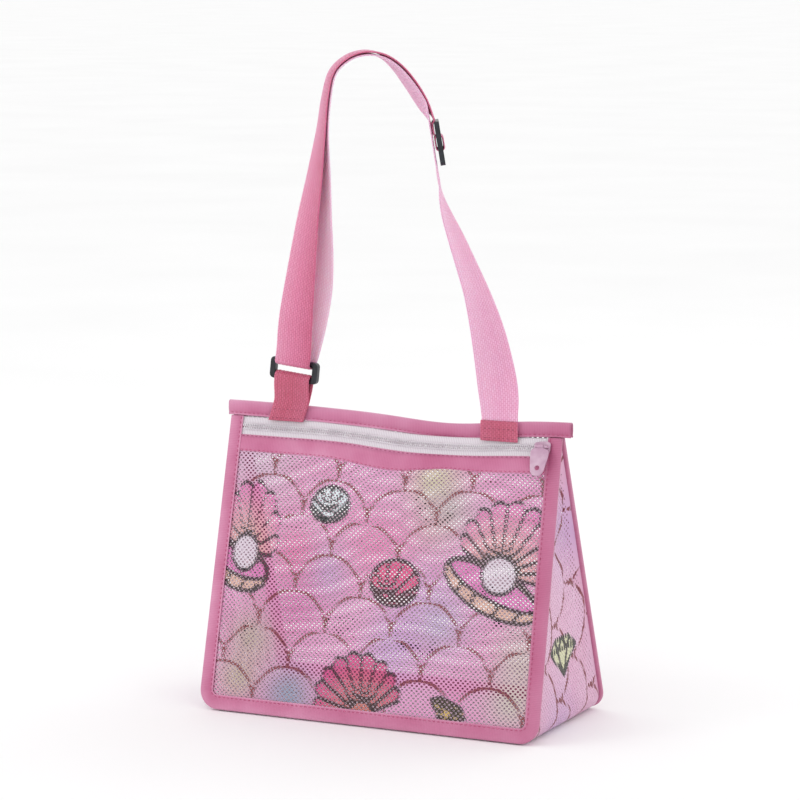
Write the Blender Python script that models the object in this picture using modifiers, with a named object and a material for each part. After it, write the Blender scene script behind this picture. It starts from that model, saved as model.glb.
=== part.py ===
"""Beach bag: a mesh wedge bag with a zipped front and an adjustable webbing shoulder strap.

Metres, +Z up. The origin is on the floor under the middle of the bag, the front faces -Y and the
strap stands up. Each physical piece is one named object.
"""
from math import atan2, cos, hypot, pi, radians, sin

import bmesh
import bpy
from mathutils import Euler, Matrix, Vector

MM = 0.001

# ---- driving dimensions ----------------------------------------------------------------------
HEIGHT = 194.0 * MM            # floor to the top of the top binding
DEPTH = 113.0 * MM             # front to back at the bottom
HALF_TOP = 117.0 * MM          # half the width of a bound panel at its top
HALF_BOTTOM = 119.0 * MM       # and at its bottom
CORNER = 13.0 * MM             # radius of the bottom corners
GAP = 0.3 * MM                 # air between neighbours

MESH_THICK = 0.7 * MM          # knitted mesh, printed
TAPE_THICK = 0.5 * MM          # woven zip tape
BIND_THICK = 2.4 * MM          # a binding tape folded round an edge
BIND_WIDE = 9.5 * MM
BIND_WALL = 0.55 * MM          # one layer of binding tape
BIND_FOLD = 1.0 * MM           # the solid fold at a binding's outer edge

TOP_LENGTH = 241.0 * MM        # the top binding stands past the panels at both ends
TOP_THICK = 4.2 * MM
TOP_WALL = 0.8 * MM
HINGE_GAP = 0.5 * MM           # air under the top binding, where the front folds
HINGE_Y = 1.5 * MM             # distance of each panel's top edge from the middle plane
FOOT_Z = 0.75 * MM             # height of a panel's lower edge, on its middle layer

WEBBING = 25.0 * MM
WEB_THICK = 1.4 * MM

# ---- places worked out from them -------------------------------------------------------------
HINGE_Z = HEIGHT - BIND_WIDE - HINGE_GAP
FOOT_Y = DEPTH / 2 - BIND_THICK / 2 * cos(radians(17))
SLOPE = atan2(FOOT_Y - HINGE_Y, HINGE_Z - FOOT_Z)
PANEL_RISE = hypot(FOOT_Y - HINGE_Y, HINGE_Z - FOOT_Z)

# heights up the slope of the front
ZIP_UP = PANEL_RISE - 6.7 * MM
HEM_TOP = ZIP_UP - 5.3 * MM
HEM_HIGH = 11.0 * MM
HEM_THICK = 2.2 * MM
HEM_WEB = 0.6 * MM

# zip
COIL_INNER = 0.6 * MM
COIL_OUTER = 2.1 * MM
COIL_THICK = 1.35 * MM
TAPE_EDGE = 0.9 * MM
SLIDER_X = 101.0 * MM
SLIDER_LONG = 11.0 * MM
SLIDER_HALF = 3.8 * MM
BAIL_RADIUS = 0.55 * MM
BAIL_OUT = 5.1 * MM            # middle of the bail bar, out from the tape
PULL_EYE = 1.65 * MM
PULL_THICK = 1.2 * MM
PULL_LONG = 18.5 * MM

# strap anchors
TAB_Y = -3.4 * MM              # middle layer of both sewn tabs
TAB_LOW = 182.7 * MM
LEFT_X = -75.7 * MM             # middle of the ring webbing, at the swing axis
LEFT_TAB_X = -80.0 * MM         # where it is sewn down
RIGHT_X = 71.0 * MM
SWING_Z = HEIGHT + 1.4 * MM
CHAPE_LEAN = radians(6)
BAR_LOW = 15.6 * MM            # ring's lower bar above the swing axis
BAR_SPAN = 11.0 * MM           # between the middles of the ring's two bars
RING_BAR = 3.0 * MM
RING_DEEP = 4.0 * MM
RING_WIDE = 34.0 * MM
RING_SIDE = 3.8 * MM

GLIDE_WIDE = 32.0 * MM
GLIDE_LONG = 28.0 * MM
GLIDE_THICK = 3.2 * MM
GLIDE_BAR = 7.0 * MM
GLIDE_SLOT = 6.3 * MM
GLIDE_AT = Vector((20.2, 15.5, 364.5)) * MM
GLIDE_DOWN = Vector((0.145, 0.0695, -0.987)).normalized()
GLIDE_ACROSS = -64.4           # direction of the strap's width there, degrees from +X


# ---- helpers ---------------------------------------------------------------------------------
def clear_scene():
    for thing in list(bpy.data.objects):
        bpy.data.objects.remove(thing, do_unlink=True)


def make_collection(name):
    group = bpy.data.collections.new(name)
    bpy.context.scene.collection.children.link(group)
    return group


def make_material(name, rgb, roughness, alpha=1.0):
    material = bpy.data.materials.new(name)
    material.use_nodes = True
    shader = material.node_tree.nodes["Principled BSDF"]
    shader.inputs["Base Color"].default_value = (*rgb, 1.0)
    shader.inputs["Roughness"].default_value = roughness
    shader.inputs["Alpha"].default_value = alpha
    return material


def put_under(child, parent):
    if parent is not None:
        child.parent = parent


def add_object(name, mesh, material, parent=None, group=None):
    thing = bpy.data.objects.new(name, mesh)
    (group or PIECES).objects.link(thing)
    if material:
        mesh.materials.append(material)
    put_under(thing, parent)
    return thing


def make_frame(name, location, rotation, parent=None):
    frame = bpy.data.objects.new(name, None)
    PIECES.objects.link(frame)
    frame.location = location
    frame.rotation_euler = rotation
    put_under(frame, parent)
    return frame


def outline_mesh(name, outlines, thickness):
    """A flat plate in local XY: the first outline is its rim and the others are holes."""
    curve = bpy.data.curves.new(name, "CURVE")
    curve.dimensions = "2D"
    curve.fill_mode = "BOTH"
    curve.extrude = thickness / 2
    curve.render_resolution_u = 0
    for points in outlines:
        spline = curve.splines.new("POLY")
        spline.points.add(len(points) - 1)
        for point, (x, y) in zip(spline.points, points):
            point.co = (x, y, 0.0, 1.0)
        spline.use_cyclic_u = True
    helper = bpy.data.objects.new(name + "_outline", curve)
    bpy.context.scene.collection.objects.link(helper)
    return weld_from(helper)


def weld_from(helper):
    """Turn a curve object into one closed mesh and remove the curve."""
    bpy.context.view_layer.update()
    evaluated = helper.evaluated_get(bpy.context.evaluated_depsgraph_get())
    mesh = bpy.data.meshes.new_from_object(evaluated)
    work = bmesh.new()
    work.from_mesh(mesh)
    bmesh.ops.remove_doubles(work, verts=work.verts, dist=0.01 * MM)
    bmesh.ops.recalc_face_normals(work, faces=work.faces)
    work.to_mesh(mesh)
    work.free()
    bpy.data.objects.remove(helper, do_unlink=True)
    return mesh


def tube_mesh(name, points, radius):
    curve = bpy.data.curves.new(name, "CURVE")
    curve.dimensions = "3D"
    curve.bevel_depth = radius
    curve.bevel_resolution = 2
    curve.use_fill_caps = True
    curve.render_resolution_u = 0
    spline = curve.splines.new("POLY")
    spline.points.add(len(points) - 1)
    for point, place in zip(spline.points, points):
        point.co = (*place, 1.0)
    helper = bpy.data.objects.new(name + "_path", curve)
    bpy.context.scene.collection.objects.link(helper)
    return weld_from(helper)


def turned(mesh, matrix):
    mesh.transform(matrix)
    return mesh


def cut(target, cutter, operation="DIFFERENCE"):
    cutter.hide_render = True
    cutter.display_type = "WIRE"
    step = target.modifiers.new(operation.lower(), "BOOLEAN")
    step.operation = operation
    step.solver = "EXACT"
    step.object = cutter
    return target


def add_bevel(target, width, segments=2, angle=40):
    bevel = target.modifiers.new("soft_edges", "BEVEL")
    bevel.width = width
    bevel.segments = segments
    bevel.limit_method = "ANGLE"
    bevel.angle_limit = radians(angle)
    return target


def arc(x, y, radius, start, end, steps):
    """Points on an arc, with angles in degrees."""
    angles = [radians(start + (end - start) * i / steps) for i in range(steps + 1)]
    return [(x + radius * cos(a), y + radius * sin(a)) for a in angles]


def rounded_box(wide, high, radius, steps=3):
    x = wide / 2 - radius
    y = high / 2 - radius
    corners = ((x, y, 0), (-x, y, 90), (-x, -y, 180), (x, -y, 270))
    return [p for cx, cy, a in corners for p in arc(cx, cy, radius, a, a + 90, steps)]


def box_outline(x0, x1, y0, y1):
    return [(x0, y0), (x1, y0), (x1, y1), (x0, y1)]


def thick_line(points, thickness):
    """The outline of a bent sheet, from its middle line."""
    sides = ([], [])
    for i, (x, y) in enumerate(points):
        x0, y0 = points[max(i - 1, 0)]
        x1, y1 = points[min(i + 1, len(points) - 1)]
        length = hypot(x1 - x0, y1 - y0)
        dx, dy = (x1 - x0) / length * thickness / 2, (y1 - y0) / length * thickness / 2
        sides[0].append((x - dy, y + dx))
        sides[1].append((x + dy, y - dx))
    return sides[0] + sides[1][::-1]


# Local (y, z, x) of a section become world (X, Y, Z): a section drawn in YZ is pushed out along X.
ALONG_X = Matrix(((0, 0, 1, 0), (1, 0, 0, 0), (0, 1, 0, 0), (0, 0, 0, 1)))
# Local (x, z, -y): a section drawn in XZ is pushed out along Y.
ALONG_Y = Matrix(((1, 0, 0, 0), (0, 0, -1, 0), (0, 1, 0, 0), (0, 0, 0, 1)))


# ---- panels, bindings and gusset ---------------------------------------------------------------
def half_width(up):
    return HALF_BOTTOM + (HALF_TOP - HALF_BOTTOM) * up / PANEL_RISE


def u_path(inset, top, steps=5):
    """The rim of a bound panel, moved in by inset: down the left, round the bottom, up the right."""
    middle = half_width(CORNER) - CORNER
    radius = CORNER - inset
    left = arc(-middle, CORNER, radius, 180, 270, steps)
    right = arc(middle, CORNER, radius, 270, 360, steps)
    side = half_width(top) - inset
    return [(-side, top), *left, *right, (side, top)]


def make_binding(name, frame):
    """A tape folded round the sides and bottom of a panel, open along its inner edge."""
    rim = u_path(0.0, PANEL_RISE)
    inner = u_path(BIND_WIDE, PANEL_RISE)
    tape = add_object(name, outline_mesh(name, [rim + inner[::-1]], BIND_THICK), BINDING, frame)
    slot = outline_mesh(name + "_slot", [u_path(BIND_FOLD, PANEL_RISE + CORNER)],
                        BIND_THICK - 2 * BIND_WALL)
    return cut(tape, add_object(name + "_slot", slot, None, frame, CUTTERS))


def make_front_panel(frame):
    top = HEM_TOP - HEM_HIGH / 2 - HEM_WEB / 2 - GAP
    plate = outline_mesh("front_panel", [u_path(BIND_FOLD + GAP, top)], MESH_THICK)
    return add_object("front_panel", plate, MESH_FABRIC, frame)


def make_back_panel():
    """The back sheet leans like the front one. A narrower neck stands up inside the top binding."""
    neck = 3.0 * MM
    stand = 0.65 * MM
    line = [(FOOT_Y, FOOT_Z), (HINGE_Y + neck * sin(SLOPE), HINGE_Z - neck * cos(SLOPE)),
            (stand, HINGE_Z - 0.2 * MM), (stand, HEIGHT - TOP_WALL - 2 * GAP)]
    sheet = outline_mesh("back_panel", [thick_line(line, MESH_THICK)], 2 * HALF_TOP)
    panel = add_object("back_panel", turned(sheet, ALONG_X), MESH_FABRIC)
    shoulder = PANEL_RISE - neck - GAP
    narrow = half_width(shoulder) - BIND_WIDE - 2 * GAP
    top = PANEL_RISE + CORNER
    rim = [*u_path(BIND_FOLD + GAP, shoulder), (narrow, shoulder), (narrow, top), (-narrow, top),
           (-narrow, shoulder)]
    tool = add_object("back_shape", outline_mesh("back_shape", [rim], DEPTH / 8), None, BACK_FRAME, CUTTERS)
    return cut(panel, tool, "INTERSECT")


def make_top_binding():
    out, slot = TOP_THICK / 2, TOP_THICK / 2 - TOP_WALL
    low, high = HEIGHT - BIND_WIDE, HEIGHT
    roof = high - TOP_WALL
    section = [(-out, low), (-slot, low), (-slot, roof), (slot, roof), (slot, low), (out, low),
               *arc(out - 1.2 * MM, high - 1.2 * MM, 1.2 * MM, 0, 90, 3),
               *arc(-out + 1.2 * MM, high - 1.2 * MM, 1.2 * MM, 90, 180, 3)]
    tape = outline_mesh("top_binding", [section], TOP_LENGTH)
    return add_object("top_binding", turned(tape, ALONG_X), BINDING)


def gusset_tool():
    """The wedge of space between the two bindings."""
    inset = (BIND_THICK / 2 + GAP) / cos(SLOPE)
    lean = (FOOT_Y - HINGE_Y) / (HINGE_Z - FOOT_Z)
    foot = FOOT_Y - inset + FOOT_Z * lean
    top = HINGE_Z - 5.0 * MM
    head = foot - top * lean
    section = [(-foot, -DEPTH / 50), (foot, -DEPTH / 50), (head, top), (-head, top)]
    wedge = outline_mesh("gusset_wedge", [section], 3 * HALF_TOP)
    return add_object("gusset_wedge", turned(wedge, ALONG_X), None, None, CUTTERS)


def make_gusset():
    """One strip runs down a side, along the bottom and up the other side. Here it is in three."""
    tool = gusset_tool()
    wall = 1.0 * MM
    inset = 2.6 * MM
    flat = half_width(CORNER) - CORNER
    wide, high = CORNER - inset, CORNER - wall / 2
    bend = [(flat + wide * cos(a), CORNER - high * sin(a)) for a in (pi / 10 * i for i in range(6))]
    line = [(half_width(HINGE_Z) - inset, HINGE_Z), *bend[:-1], (flat + 2 * GAP, wall / 2)]
    for name, side in (("gusset_left", -1), ("gusset_right", 1)):
        strip = outline_mesh(name, [thick_line([(side * x, z) for x, z in line], wall)], DEPTH)
        cut(add_object(name, turned(strip, ALONG_Y), MESH_FABRIC), tool, "INTERSECT")
    base = outline_mesh("gusset_bottom", [box_outline(-flat, flat, 0.0, wall)], DEPTH)
    cut(add_object("gusset_bottom", turned(base, ALONG_Y), MESH_FABRIC), tool, "INTERSECT")


# ---- zip ---------------------------------------------------------------------------------------
def make_hem(frame):
    """A tape sewn over the zip above and the panel below, each held in its own groove."""
    out, slot = HEM_THICK / 2, TAPE_THICK / 2 + GAP + 0.1 * MM
    low, high = HEM_TOP - HEM_HIGH, HEM_TOP
    web_low, web_high = (low + high - HEM_WEB) / 2, (low + high + HEM_WEB) / 2
    section = [(low, -out), (high, -out), (high, -slot), (web_high, -slot), (web_high, slot),
               (high, slot), (high, out), (low, out), (low, slot), (web_low, slot),
               (web_low, -slot), (low, -slot)]
    long = 2 * (half_width(low) - BIND_WIDE - GAP)
    tape = turned(outline_mesh("zip_hem", [section], long), ALONG_X)
    return add_object("zip_hem", tape, BINDING, frame)


def make_zip_tapes(frame):
    tuck = BIND_FOLD + GAP
    spans = {"zip_tape_upper": (ZIP_UP + TAPE_EDGE, PANEL_RISE - 0.1 * MM),
             "zip_tape_lower": (HEM_TOP - HEM_HIGH / 2 + HEM_WEB / 2 + GAP, ZIP_UP - TAPE_EDGE)}
    for name, (low, high) in spans.items():
        side = half_width(low) - tuck
        tape = outline_mesh(name, [box_outline(-side, side, low, high)], TAPE_THICK)
        add_object(name, tape, ZIP_TAPE, frame)


def make_zip_coils(frame):
    """Each half of the coil is a half-round bar, with room between them for the slider's post."""
    base = TAPE_THICK / 2 + GAP
    middle = (COIL_INNER + COIL_OUTER) / 2
    half = (COIL_OUTER - COIL_INNER) / 2
    shoulder = base + COIL_THICK - half
    for name, side in (("zip_coil_upper", 1), ("zip_coil_lower", -1)):
        up = ZIP_UP + side * middle
        section = [(up - half, base), (up + half, base), *arc(up, shoulder, half, 0, 180, 6)]
        long = 2 * (half_width(ZIP_UP - COIL_OUTER) - BIND_WIDE - GAP)
        bar = turned(outline_mesh(name, [section], long), ALONG_X)
        add_object(name, bar, COIL, frame)


def make_slider(frame):
    """Two plates joined by a post that rides between the coils, with a bail for the pull."""
    roof_low = TAPE_THICK / 2 + GAP + COIL_THICK + GAP
    roof = roof_low + 0.8 * MM
    skirt = COIL_OUTER + 0.4 * MM
    lip = TAPE_THICK / 2 + GAP
    post = 0.25 * MM
    floor_low = -lip - 0.8 * MM
    half = SLIDER_HALF
    right = [(post, -lip), (half, -lip), (half, floor_low)]
    left = [(-x, y) for x, y in right[::-1]]
    top = [(-post, roof_low), (-skirt, roof_low), (-skirt, lip), (-half, lip), (-half, roof),
           (half, roof), (half, lip), (skirt, lip), (skirt, roof_low), (post, roof_low)]
    section = left + [(-post, -lip)][1:] + top + right
    body = turned(outline_mesh("zip_slider", [section], SLIDER_LONG), ALONG_X)
    slider = add_object("zip_slider", body, SLIDER_PLASTIC, frame)
    foot = SLIDER_LONG / 2 - 1.6 * MM
    rise = [(-foot, 0, roof - 0.3 * MM), (-foot, 0, BAIL_OUT - 0.7 * MM), (-foot + 0.7 * MM, 0, BAIL_OUT)]
    path = rise + [(-x, y, z) for x, y, z in rise[::-1]]
    bail = add_object("slider_bail", tube_mesh("slider_bail", path, BAIL_RADIUS), None, frame, CUTTERS)
    return cut(slider, bail, "UNION")


def make_pull(frame):
    """A tapered tab whose rolled eye turns on the slider's bail."""
    hole = BAIL_RADIUS + GAP
    eye = turned(outline_mesh("pull_eye", [arc(0, 0, PULL_EYE, 0, 345, 23), arc(0, 0, hole, 0, 330, 11)],
                              3.6 * MM), ALONG_X)
    wide, tip = 5.2 * MM, 3.6 * MM
    low = -PULL_LONG + tip
    start = -hole - 0.35 * MM
    rim = [(-1.7 * MM, start), (-wide, start - 1.2 * MM), (-wide, start - 4.5 * MM),
           *arc(0, low, tip, 180, 360, 8), (wide, start - 4.5 * MM), (wide, start - 1.2 * MM),
           (1.7 * MM, start)]
    tab = outline_mesh("zip_pull", [rim, arc(0, low + 0.3 * MM, 1.5 * MM, 0, 330, 11)], PULL_THICK)
    pull = add_object("zip_pull", tab, PULL_PLASTIC, frame)
    return cut(pull, add_object("pull_eye", eye, None, frame, CUTTERS), "UNION")


# ---- shoulder strap ------------------------------------------------------------------------------
def make_tabs():
    for name, x in (("strap_tab_left", LEFT_TAB_X), ("strap_tab_right", RIGHT_X)):
        rim = box_outline(x - WEBBING / 2, x + WEBBING / 2, TAB_LOW, HEIGHT - GAP)
        tab = turned(outline_mesh(name, [rim], WEB_THICK), ALONG_Y)
        add_object(name, turned(tab, Matrix.Translation((0, TAB_Y, 0))), WEB)


def make_chape(frame):
    """A short webbing loop that holds the ring's lower bar. It stands on the swing axis."""
    inner, outer = 2.9 * MM, 2.9 * MM + WEB_THICK
    foot, base = 2.5 * MM, 0.9 * MM
    rim = [(-base, foot), (base, foot), *arc(0, BAR_LOW, outer, -15, 195, 10)]
    hole = [(0, foot + 5.5 * MM), *arc(0, BAR_LOW, inner, -20, 200, 9)]
    loop = turned(outline_mesh("chape_loop", [rim, hole], WEBBING), ALONG_X)
    return add_object("chape_loop", loop, WEB, frame)


def make_ring(frame):
    """A moulded rectangle. Its frame sits on the lower bar."""
    high = BAR_SPAN + RING_BAR
    rim = rounded_box(RING_WIDE, high, 2.6 * MM)
    hole = rounded_box(RING_WIDE - 2 * RING_SIDE, high - 2 * RING_BAR, 0.8 * MM, 2)
    plate = outline_mesh("rect_ring", [rim, hole], RING_DEEP)
    shift = Matrix.Translation((0, 0, BAR_SPAN / 2))
    ring = add_object("rect_ring", turned(plate, shift @ ALONG_Y), HARDWARE, frame)
    return add_bevel(ring, 0.9 * MM)


def smooth_route(points, steps):
    """Catmull-Rom through the points, which are tuples of any length."""
    out = []
    for i in range(len(points) - 1):
        p0, p1, p2, p3 = (points[min(max(k, 0), len(points) - 1)] for k in range(i - 1, i + 3))
        for s in range(steps):
            t = s / steps
            out.append(tuple(
                0.5 * (2 * b + (c - a) * t + (2 * a - 5 * b + 4 * c - d) * t ** 2
                       + (3 * b - a - 3 * c + d) * t ** 3)
                for a, b, c, d in zip(p0, p1, p2, p3)))
    out.append(points[-1])
    return out


def glide_axes():
    """The tri-glide's own axes: across the webbing, along it, and outwards."""
    across = Vector((cos(radians(GLIDE_ACROSS)), sin(radians(GLIDE_ACROSS)), 0.0))
    down = (GLIDE_DOWN - across * GLIDE_DOWN.dot(across)).normalized()
    return across, down, across.cross(down)


def beside_glide(along, out):
    """A point of the route beside the tri-glide, in millimetres, with the webbing's direction."""
    across, down, outwards = glide_axes()
    return (*((GLIDE_AT + down * along * MM + outwards * out * MM) / MM), GLIDE_ACROSS)


# The webbing's middle line in millimetres, each point with the direction of its width in degrees
# from +X. The outer run goes from the tri-glide over the top and down to the ring, and the inner
# run comes back up from the ring, passes the tri-glide and goes down to the right-hand tab.
OUTER_RUN = [
    beside_glide(-15.5, -1.2),
    (11.6, 12.6, 389.0, -60), (3.6, 9.2, 402.0, -57), (-4.5, 5.0, 413.0, -57),
    (-13.0, 0.5, 419.8, -59), (-23.0, -4.5, 421.5, -61), (-33.0, -9.5, 417.8, -60),
    (-41.5, -13.0, 408.5, -58), (-45.3, -14.8, 392.5, -55), (-48.3, -14.8, 370.5, -50),
    (-53.8, -13.5, 340.5, -40), (-59.2, -12.0, 314.5, -31), (-65.0, -10.0, 281.5, -18),
    (-70.0, -8.6, 249.5, -4), (-71.8, -8.0, 229.5, 0),
]
INNER_RUN = [
    (-69.8, 1.6, 231.5, 2), (-64.6, 1.6, 249.5, -2), (-59.2, 0.0, 270.5, -9),
    (-55.2, -3.4, 293.5, -19), (-52.3, -7.4, 316.5, -29), (-49.4, -10.2, 340.5, -39),
    (-45.9, -12.8, 370.5, -50), (-43.2, -13.7, 391.3, -55), (-39.9, -12.4, 406.5, -58),
    (-32.1, -9.1, 415.3, -60), (-22.7, -4.4, 418.8, -61), (-13.3, 0.4, 417.1, -59),
    (-5.4, 4.5, 410.5, -57), (2.1, 8.4, 399.9, -57), (9.4, 11.5, 387.7, -60),
    beside_glide(-14, -4.2), beside_glide(0, -4.2), beside_glide(14, -4.2), beside_glide(28, -4.2),
    (25.8, 13.4, 322.0, -77), (33.3, 10.8, 307.0, -88), (43.0, 8.0, 287.5, -98),
    (51.8, 5.0, 269.5, -108), (60.0, 2.0, 247.5, -125), (66.3, -0.6, 224.5, -143),
    (69.8, -2.4, 207.5, -166), (70.8, TAB_Y / MM, SWING_Z / MM + 0.9, -180),
]


def ring_turn(steps=8):
    """Stations under the ring's upper bar, between the outer and the inner run. They lean with it."""
    bar = Vector((LEFT_X, TAB_Y, SWING_Z)) + Matrix.Rotation(CHAPE_LEAN, 3, "Y") @ Vector(
        (0, 0, BAR_LOW + BAR_SPAN))
    angles = [pi * i / steps for i in range(steps + 1)]
    return [((bar.x - sin(CHAPE_LEAN) * 2.8 * MM * sin(a)) / MM, (bar.y - 4.7 * MM * cos(a)) / MM,
             (bar.z - 2.8 * MM * sin(a)) / MM, 0.0, CHAPE_LEAN) for a in angles]


def ribbon_mesh(name, stations, wide, thick):
    """A band of even thickness through stations of position, width direction and, if any, lean."""
    places = [Vector(s[:3]) * MM for s in stations]
    work = bmesh.new()
    rings = []
    for i, station in enumerate(stations):
        along = (places[min(i + 1, len(places) - 1)] - places[max(i - 1, 0)]).normalized()
        angle = radians(station[3])
        lean = station[4] if len(station) > 4 else 0.0
        across = Vector((cos(angle), sin(angle), -sin(lean)))
        across = (across - along * across.dot(along)).normalized()
        normal = along.cross(across)
        corners = ((1, 1), (-1, 1), (-1, -1), (1, -1))
        rings.append([work.verts.new(places[i] + across * a * wide / 2 + normal * b * thick / 2)
                      for a, b in corners])
    for low, high in zip(rings, rings[1:]):
        for k in range(4):
            work.faces.new((low[k], low[(k + 1) % 4], high[(k + 1) % 4], high[k]))
    work.faces.new(rings[0])
    work.faces.new(rings[-1])
    bmesh.ops.recalc_face_normals(work, faces=work.faces)
    mesh = bpy.data.meshes.new(name)
    work.to_mesh(mesh)
    work.free()
    return mesh


def make_shoulder_strap():
    turn = ring_turn()
    run = smooth_route([*OUTER_RUN, turn[0]], 3)[:-1] + turn + smooth_route([turn[-1], *INNER_RUN], 3)[1:]
    return add_object("shoulder_strap", ribbon_mesh("shoulder_strap", run, WEBBING, WEB_THICK), WEB)


def make_glide(frame):
    """The tri-glide: a frame with a middle bar and two slots."""
    rim = rounded_box(GLIDE_WIDE, GLIDE_LONG, 3.0 * MM)
    middle = (GLIDE_BAR + GLIDE_SLOT) / 2
    slot = rounded_box(GLIDE_WIDE - 2 * 2.8 * MM, GLIDE_SLOT, 0.8 * MM, 2)
    slots = [[(x, y + side * middle) for x, y in slot] for side in (-1, 1)]
    plate = outline_mesh("triglide", [rim, *slots], GLIDE_THICK)
    return add_bevel(add_object("triglide", plate, HARDWARE, frame), 0.8 * MM)


def make_end_loop(frame):
    """The end of the webbing, sewn round the tri-glide's middle bar."""
    air, wall = 0.35 * MM, 1.1 * MM
    long, deep = GLIDE_BAR + 2 * air, GLIDE_THICK + 2 * air
    rim = rounded_box(long + 2 * wall, deep + 2 * wall, 1.6 * MM)
    hole = rounded_box(long, deep, 0.6 * MM, 2)
    loop = turned(outline_mesh("strap_end_loop", [rim, hole], WEBBING), ALONG_X)
    return add_object("strap_end_loop", loop, WEB, frame)


# ---- the bag -------------------------------------------------------------------------------------
clear_scene()
PIECES = make_collection("beach_bag")
CUTTERS = make_collection("cutters")

MESH_FABRIC = make_material("printed_mesh", (0.86, 0.52, 0.66), 0.8)
BINDING = make_material("binding_tape", (0.75, 0.22, 0.38), 0.7)
WEB = make_material("webbing", (0.78, 0.26, 0.42), 0.75)
ZIP_TAPE = make_material("zip_tape", (0.82, 0.78, 0.81), 0.8)
COIL = make_material("zip_coil", (0.6, 0.57, 0.6), 0.4)
SLIDER_PLASTIC = make_material("slider_plastic", (0.62, 0.55, 0.62), 0.35)
PULL_PLASTIC = make_material("pull_plastic", (0.68, 0.58, 0.68), 0.3)
HARDWARE = make_material("black_plastic", (0.01, 0.011, 0.015), 0.3)

LEAN_BACK = Euler((pi / 2 - SLOPE, 0.0, 0.0))
FRONT_FRAME = make_frame("front_frame", (0.0, -FOOT_Y, FOOT_Z), LEAN_BACK)
TURNED = make_frame("turned_round", (0.0, 0.0, 0.0), Euler((0.0, 0.0, pi)))
BACK_FRAME = make_frame("back_frame", (0.0, -FOOT_Y, FOOT_Z), LEAN_BACK, TURNED)
SLIDER_FRAME = make_frame("slider_frame", (SLIDER_X, ZIP_UP, 0.0), Euler(), FRONT_FRAME)
PULL_FRAME = make_frame("pull_frame", (0.0, 0.0, BAIL_OUT), Euler((radians(-8), 0.0, 0.0)), SLIDER_FRAME)
CHAPE_FRAME = make_frame("chape_frame", (LEFT_X, TAB_Y, SWING_Z), Euler((0.0, CHAPE_LEAN, 0.0)))
RING_FRAME = make_frame("ring_frame", (0.0, 0.0, BAR_LOW), Euler(), CHAPE_FRAME)
ACROSS, DOWN, OUTWARDS = glide_axes()
GLIDE_TURN = Matrix((ACROSS, DOWN, OUTWARDS)).transposed().to_euler()
GLIDE_FRAME = make_frame("glide_frame", GLIDE_AT, GLIDE_TURN)

make_top_binding()
make_back_panel()
make_binding("back_binding", BACK_FRAME)
make_gusset()
make_front_panel(FRONT_FRAME)
make_binding("front_binding", FRONT_FRAME)
make_hem(FRONT_FRAME)
make_zip_tapes(FRONT_FRAME)
make_zip_coils(FRONT_FRAME)
make_slider(SLIDER_FRAME)
make_pull(PULL_FRAME)
make_tabs()
make_chape(CHAPE_FRAME)
make_ring(RING_FRAME)
make_shoulder_strap()
make_glide(GLIDE_FRAME)
make_end_loop(GLIDE_FRAME)
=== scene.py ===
# %% [markdown]
# # A mesh beach bag
# A child's beach bag is sewn from printed open mesh, so that the sand falls out of it. Every raw
# edge is bound with folded pink tape, a white coil zip closes the front, and a pink webbing strap
# with a black ring and tri-glide stands up over it. The hard parts and all the places come from
# the CAD frame. The cloth is made here as cloth: real holes, folded tapes, ribs and stitches.

from math import atan2, cos, exp, hypot, pi, radians, sin

import bmesh
import bpy
import numpy as np
from mathutils import Matrix, Vector


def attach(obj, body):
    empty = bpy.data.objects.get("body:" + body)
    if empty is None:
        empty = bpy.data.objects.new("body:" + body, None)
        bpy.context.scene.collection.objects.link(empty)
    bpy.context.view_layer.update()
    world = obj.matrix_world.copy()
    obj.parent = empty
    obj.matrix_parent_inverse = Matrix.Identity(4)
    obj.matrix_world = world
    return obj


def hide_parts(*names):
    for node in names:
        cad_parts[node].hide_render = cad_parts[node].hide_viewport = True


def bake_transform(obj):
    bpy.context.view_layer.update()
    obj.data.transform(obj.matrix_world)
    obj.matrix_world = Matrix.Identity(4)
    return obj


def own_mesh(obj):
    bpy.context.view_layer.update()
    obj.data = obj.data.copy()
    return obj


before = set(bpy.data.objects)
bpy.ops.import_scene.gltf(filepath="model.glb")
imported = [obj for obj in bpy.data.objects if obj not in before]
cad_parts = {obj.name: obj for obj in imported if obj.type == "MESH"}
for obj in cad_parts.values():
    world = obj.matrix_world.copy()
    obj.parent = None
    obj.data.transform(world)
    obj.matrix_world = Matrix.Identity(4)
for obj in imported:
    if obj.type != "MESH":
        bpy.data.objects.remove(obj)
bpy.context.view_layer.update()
MM = 0.001
X_WAY, Y_WAY, Z_WAY = Vector((1, 0, 0)), Vector((0, 1, 0)), Vector((0, 0, 1))

# %% [markdown]
# ## Camera, floor and light
# A small product is shot from far away with a long lens, so that its sides stay nearly parallel.
# The floor is a very wide plain sheet, and a white world with one soft key light from the left
# gives the even light of a product table. The Standard view keeps white paper white.

# %% Camera
AIM = Vector((0.0, 0.0, 0.2010))
AZIMUTH, ELEVATION = radians(25.57), radians(8.09)
DISTANCE = 2.081
backwards = Vector((sin(AZIMUTH) * cos(ELEVATION), -cos(AZIMUTH) * cos(ELEVATION), sin(ELEVATION)))
camera_data = bpy.data.cameras.new("camera")
camera_data.lens = 147.2
camera_data.sensor_width = 36.0
camera_data.clip_end = 200.0
camera = bpy.data.objects.new("camera", camera_data)
camera.location = AIM + backwards * DISTANCE
camera.rotation_euler = (-backwards).to_track_quat("-Z", "Y").to_euler()
bpy.context.scene.collection.objects.link(camera)
bpy.context.scene.camera = camera
bpy.context.scene.view_settings.view_transform = "Standard"
print("camera at", [round(x, 3) for x in camera.location])


# %% [markdown]
# ## A few small helpers for materials
# Colours are written as web colours and turned to the linear values that a shader needs. One
# function adds a node, sets it and links it, and every pattern below is built with it. Moulded
# plastic, nylon and thread all have a colour that drifts in soft spots, so they share a recipe.

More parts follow.
